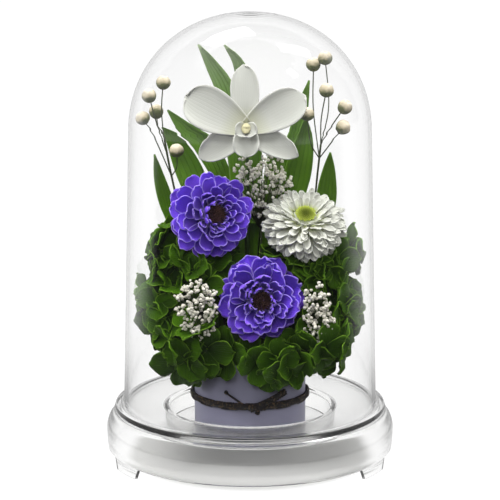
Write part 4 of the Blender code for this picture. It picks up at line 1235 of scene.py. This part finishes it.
# stem route, then twigs as fork, bend, bud
BUD_SPRAYS = {
    "buds_left": (
        ((-45, 3, 172), (-41, 3, 150), (-35, 2, 126), (-24, -1, 98), (-14, -2, 78),
         (-12, -2, STEM_FOOT)),
        ((0, (-46, 4, 185), (-45, 4, 199)), (1, (-49, 1, 180), (-52, -2, 193)),
         (2, (-50, -1, 172), (-55.5, -3, 181.5)), (0, (-48, 6, 176), (-49, 9, 183)),
         (2, (-38, -2, 156), (-38, -5, 165)))),
    "buds_right": (
        ((37, 7, 166), (35.5, 10, 150), (33, 12, 128), (26, 12.5, 106), (15, 9, 78),
         (13.5, 7.5, STEM_FOOT)),
        ((1, (33, 8, 185), (33, 8, 208)), (0, (41, 7, 186), (39, 7, 211.5)),
         (0, (37, 3, 180), (39.5, 1, 195.5)), (1, (31.5, 2, 168), (29.5, -2, 183.5)),
         (0, (42, 2, 176), (49, -1, 187)), (1, (42, 0, 168), (48, -4, 177)))),
}


def add_bud(bm, centre, direction, rng):
    """Add a round bud with five faint ribs and a pinched tip."""
    pose = aimed(centre, direction)
    layer = bm.verts.layers.float["tint"]
    made = bmesh.ops.create_uvsphere(bm, u_segments=20, v_segments=14, radius=1)
    squash = rng.uniform(0.92, 1.05)
    for vert in made["verts"]:
        angle = math.atan2(vert.co.y, vert.co.x)
        level = vert.co.z
        ribs = 1 + 0.05 * math.cos(5 * angle) * (1 - level ** 2) ** 0.5
        vert[layer] = (level + 1) / 2
        if level > 0.9:
            level -= 0.18 * (level - 0.9) / 0.1
        vert.co = pose @ (Vector((vert.co.x * ribs, vert.co.y * ribs, level * squash)) * BUD_RADIUS)


for name, (stem_points, twigs) in BUD_SPRAYS.items():
    rng = random.Random(len(name))
    twig_bm = bmesh.new()
    bud_bm = new_blades()
    *upper_points, foot_point = [mm(*point) for point in stem_points]
    stem_route = smooth_route(upper_points, 6) + [foot_point]
    tube(twig_bm, stem_route, 0.55 * MM, 8)
    for fork, bend, bud in twigs:
        branch = smooth_route([stem_route[fork * 3], mm(*bend), mm(*bud)], 8)
        tube(twig_bm, branch, 0.32 * MM)
        add_bud(bud_bm, branch[-1], branch[-1] - branch[-4], rng)
    piece_from(twig_bm, name + "_twigs", dry_twig, [name])
    piece_from(bud_bm, name + "_heads", bud_finish, [name])

# %% [markdown]
# ## Baby's breath
# Clouds of tiny white double flowers on hair-thin stalks. Each flower is a small
# crumpled ball. They sit in clusters of three to six, and a stalk runs to each
# cluster from one hub, so the cloud is open at the back and dense in front.

# %% Cloud helpers
def spread_directions(count):
    """Directions spread evenly all round by the golden angle."""
    for index in range(count):
        level = 1 - 2 * (index + 0.5) / count
        flat = math.sqrt(1 - level ** 2)
        yield Vector((flat * math.cos(index * GOLDEN_ANGLE),
                      flat * math.sin(index * GOLDEN_ANGLE), level))


def solid_tree(name):
    """A search tree of a solid, for keeping clear of it."""
    bm = bmesh.new()
    bm.from_mesh(frame["nodes"][name].data)
    tree = BVHTree.FromBMesh(bm)
    bm.free()
    return tree


def is_inside(trees, point, reach):
    """True if a point is in, or within a reach of, any of the solids."""
    for tree in trees:
        near, normal, _, distance = tree.find_nearest(point)
        if distance < reach or (point - near).dot(normal) < 0 and distance < 12 * MM:
            return True
    return False


def add_stalk(bm, start, end, start_radius, end_radius, sides):
    """Add a straight stalk between two points to a bmesh, radii in millimetres."""
    along = end - start
    bmesh.ops.create_cone(bm, cap_ends=True, segments=sides, radius1=start_radius * MM,
                          radius2=end_radius * MM, depth=along.length,
                          matrix=aimed(start + along / 2, along))


BLOOM_NODES = ["dahlia_upper_petals", "dahlia_lower_petals", "chrysanthemum_petals",
               "orchid_petals"]
bloom_trees = [solid_tree(name) for name in BLOOM_NODES]
print("blooms to keep clear of:", len(bloom_trees))

# %% Clouds
# hub, knee, foot, centre, radii, count of clusters, seed
CLOUDS = {
    "babys_breath_left": ((-24, -29, 82), (-16, -13, 72), (-14, -10, STEM_FOOT),
                          (-27, -38, 89), (11.0, 6, 16.5), 60, 5),
    "babys_breath_right": ((31, -27, 80), (17, -12, 72), (15, -9, STEM_FOOT),
                           (34, -36, 86), (9.0, 6, 16.5), 54, 6),
    "babys_breath_back": ((6, 2, 122), (5, 4, 80), (4.5, 3.5, STEM_FOOT),
                          (6, -3, 145), (20, 7, 17.5), 110, 7),
}
FLOWERS_A_CLUSTER = (3, 4, 5, 6)


def add_cluster(bm, spot, rng):
    """Add a cluster of crumpled balls round a spot, clear of the blooms, and count them."""
    placed = 0
    for _ in range(rng.choice(FLOWERS_A_CLUSTER)):
        drift = Vector([rng.gauss(0, 1) for _ in range(3)]).normalized()
        place = spot + drift * rng.uniform(0.6, 2.2) * MM
        if is_inside(bloom_trees, place, 1.0 * MM):
            continue
        size = rng.uniform(0.62, 1.02) * MM
        made = bmesh.ops.create_icosphere(bm, subdivisions=2, radius=size)
        for vert in made["verts"]:
            vert.co = vert.co * rng.uniform(0.78, 1.14) + place
        placed += 1
    return placed


for name, (hub, knee, foot_point, centre, radii, count, seed) in CLOUDS.items():
    rng = random.Random(seed)
    stalk_bm = bmesh.new()
    flower_bm = bmesh.new()
    tube(stalk_bm, [mm(*hub), mm(*knee), mm(*foot_point)], 0.55 * MM, 8)
    placed = 0
    for direction in spread_directions(count):
        spot = mm(*centre) + stretched(direction, radii) * rng.uniform(0.35, 1.0) ** 0.6
        if is_inside(bloom_trees, spot, 1.8 * MM):
            continue
        placed += add_cluster(flower_bm, spot, rng)
        add_stalk(stalk_bm, mm(*hub), spot, 0.20, 0.12, 4)
    piece_from(stalk_bm, name + "_stalks", dry_twig, [name])
    piece_from(flower_bm, name + "_flowers", tiny_flower, [name])
    print(name, "flowers:", placed)

# %% [markdown]
# ## Hydrangea
# The green skirt is thirteen hydrangea heads. A head is a crowd of florets, each
# with four broad ruffled lobes, all looking outward. The florets are placed one
# by one round the head's middle, clear of the blooms, the pot and the plastic.

# %% Florets
FLORETS_A_HEAD = 26
TRIES_A_FLORET = 14
LOBE_LENGTH = 14.5
LOBE_WIDTH = 14.5
LOWEST_FLORET = 42 * MM
DOME_CLEARANCE = 0.8 * MM
keep_clear = bloom_trees + [solid_tree(name) for name in ("pot", "cord", "dome", "base")]


def floret(pose, size, cup, rng):
    """Four ruffled lobes round a small eye, as a loose bmesh."""
    bm = new_blades()
    tint = rng.uniform(0.1, 0.9)
    for index in range(4):
        surface = petal_surface(LOBE_LENGTH * size * MM, LOBE_WIDTH * size * MM, root=0.2,
                                peak=0.60, cup=0.2, roll=rng.uniform(-0.4, 0.8),
                                curl=rng.uniform(-0.5, 0.3), hook=rng.uniform(-0.6, 0.4),
                                blunt=0.08, ruffle=0.06, waves=4.0, phase=rng.uniform(0, math.tau))
        turn = (Matrix.Rotation(math.pi / 2 * index + rng.uniform(-0.12, 0.12), 4, "Z")
                @ Matrix.Translation(mm(0, 0.6, 0.25 * (index % 2)))
                @ Matrix.Rotation(cup + rng.uniform(-0.1, 0.1), 4, "X"))
        add_blade(bm, surface, 8, 8, pose @ turn, tint)
    return bm


def fits(bm):
    """True if a floret is clear of what it must not touch and inside the dome."""
    for vert in bm.verts:
        widest = dome_inner_radius(vert.co.z) - DOME_CLEARANCE
        if vert.co.xy.length > widest or vert.co.z < LOWEST_FLORET:
            return False
    tree = BVHTree.FromBMesh(bm)
    return not any(tree.overlap(other) for other in keep_clear)


def add_floret(bm, root, direction, outward, droop, rng):
    """Try a floret above a root on the head, smaller each time, until one fits."""
    for attempt in range(TRIES_A_FLORET):
        lean = Vector((rng.uniform(-1, 1), rng.uniform(-1, 1), rng.uniform(-1, 1)))
        normal = (direction + outward * 0.5 + lean * 0.5).normalized()
        hang = Vector((outward.x, outward.y, -1.6)) * droop * MM * rng.uniform(0.3, 1)
        spot = root + direction * rng.uniform(1, 9) * MM + hang
        size = rng.uniform(0.85, 1.08) * 0.975 ** attempt
        candidate = floret(aimed(spot, normal), size, rng.uniform(0.1, 0.4), rng)
        if fits(candidate):
            loose = mesh_of(candidate, "floret")
            bm.from_mesh(loose)
            bpy.data.meshes.remove(loose)
            add_stalk(bm, root - direction * 3 * MM, spot, 0.6, 0.5, 6)
            return True
        candidate.free()
    return False


print("solids to keep clear of:", len(keep_clear))

# %% Heads
HEAD_MIDDLE = 88 * MM
# name, centre, radii, place of the stalk's foot, droop of the florets
HYDRANGEA_HEADS = (
    ("front", (5, -21.5, 71), (12, 4.5, 4.5), (4.5, -18), 8),
    ("front_left", (-26, -21, 69), (9, 7, 6), (-12, -14), 4),
    ("front_right", (29, -20, 70.5), (8, 7, 6), (13, -14.5), 4),
    ("left_low", (-40, -4, 82), (8, 10, 9), (-17, -5), 0),
    ("left_high", (-37, -2, 108), (7, 8, 8), (-19, -1), 0),
    ("right_low", (41, -3, 80), (8, 10, 9), (18.5, -5), 0),
    ("right_high", (38, -1, 105), (7, 8, 7), (19, 0), 0),
    ("middle_left", (-20, -14, 103), (8, 4, 5), (-11, -9), 0),
    ("middle_right", (25, -13, 103), (8, 4, 5), (11, -9), 0),
    ("back_left", (-26, 25, 82), (10, 9, 12), (-12, 14), 3),
    ("back", (1, 35, 84), (10, 8, 12), (0, 18), 3),
    ("back_right", (28, 25, 82), (10, 9, 12), (12, 14), 3),
    ("back_high", (-1, 29, 113), (12, 6, 8), (-4, 17), 0),
)

for seed, (ending, centre, radii, foot_place, droop) in enumerate(HYDRANGEA_HEADS, start=1):
    name = "hydrangea_" + ending
    rng = random.Random(seed)
    head_bm = new_blades()
    middle = mm(*centre)
    outward = Vector((middle.x, middle.y, (middle.z - HEAD_MIDDLE) * 0.8)).normalized()
    tube(head_bm, [middle, mm(*foot_place, STEM_FOOT)], 1.0 * MM, 8)
    placed = 0
    for direction in spread_directions(FLORETS_A_HEAD):
        if direction.dot(outward) >= -0.3:
            root = middle + stretched(direction, radii)
            placed += add_floret(head_bm, root, direction, outward, droop, rng)
    piece_from(head_bm, name + "_head", green_floret, [name], 0.35 * MM)
    print(name, "florets:", placed)

# %% [markdown]
# ## Stems
# The stems are wrapped in green tape. They are mostly hidden, so their solids
# stay and only get a taped finish.

# %% Stems
stems = [node for name, node in frame["nodes"].items() if name.endswith("_stem")]
for node in stems:
    refinish(node, stem_tape)
print("taped stems:", len(stems))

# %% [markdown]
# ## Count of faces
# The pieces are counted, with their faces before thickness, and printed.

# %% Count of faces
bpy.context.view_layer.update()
total = sum(len(piece.data.polygons) for piece in made_pieces)
print("pieces:", len(made_pieces), "faces before thickness:", total)
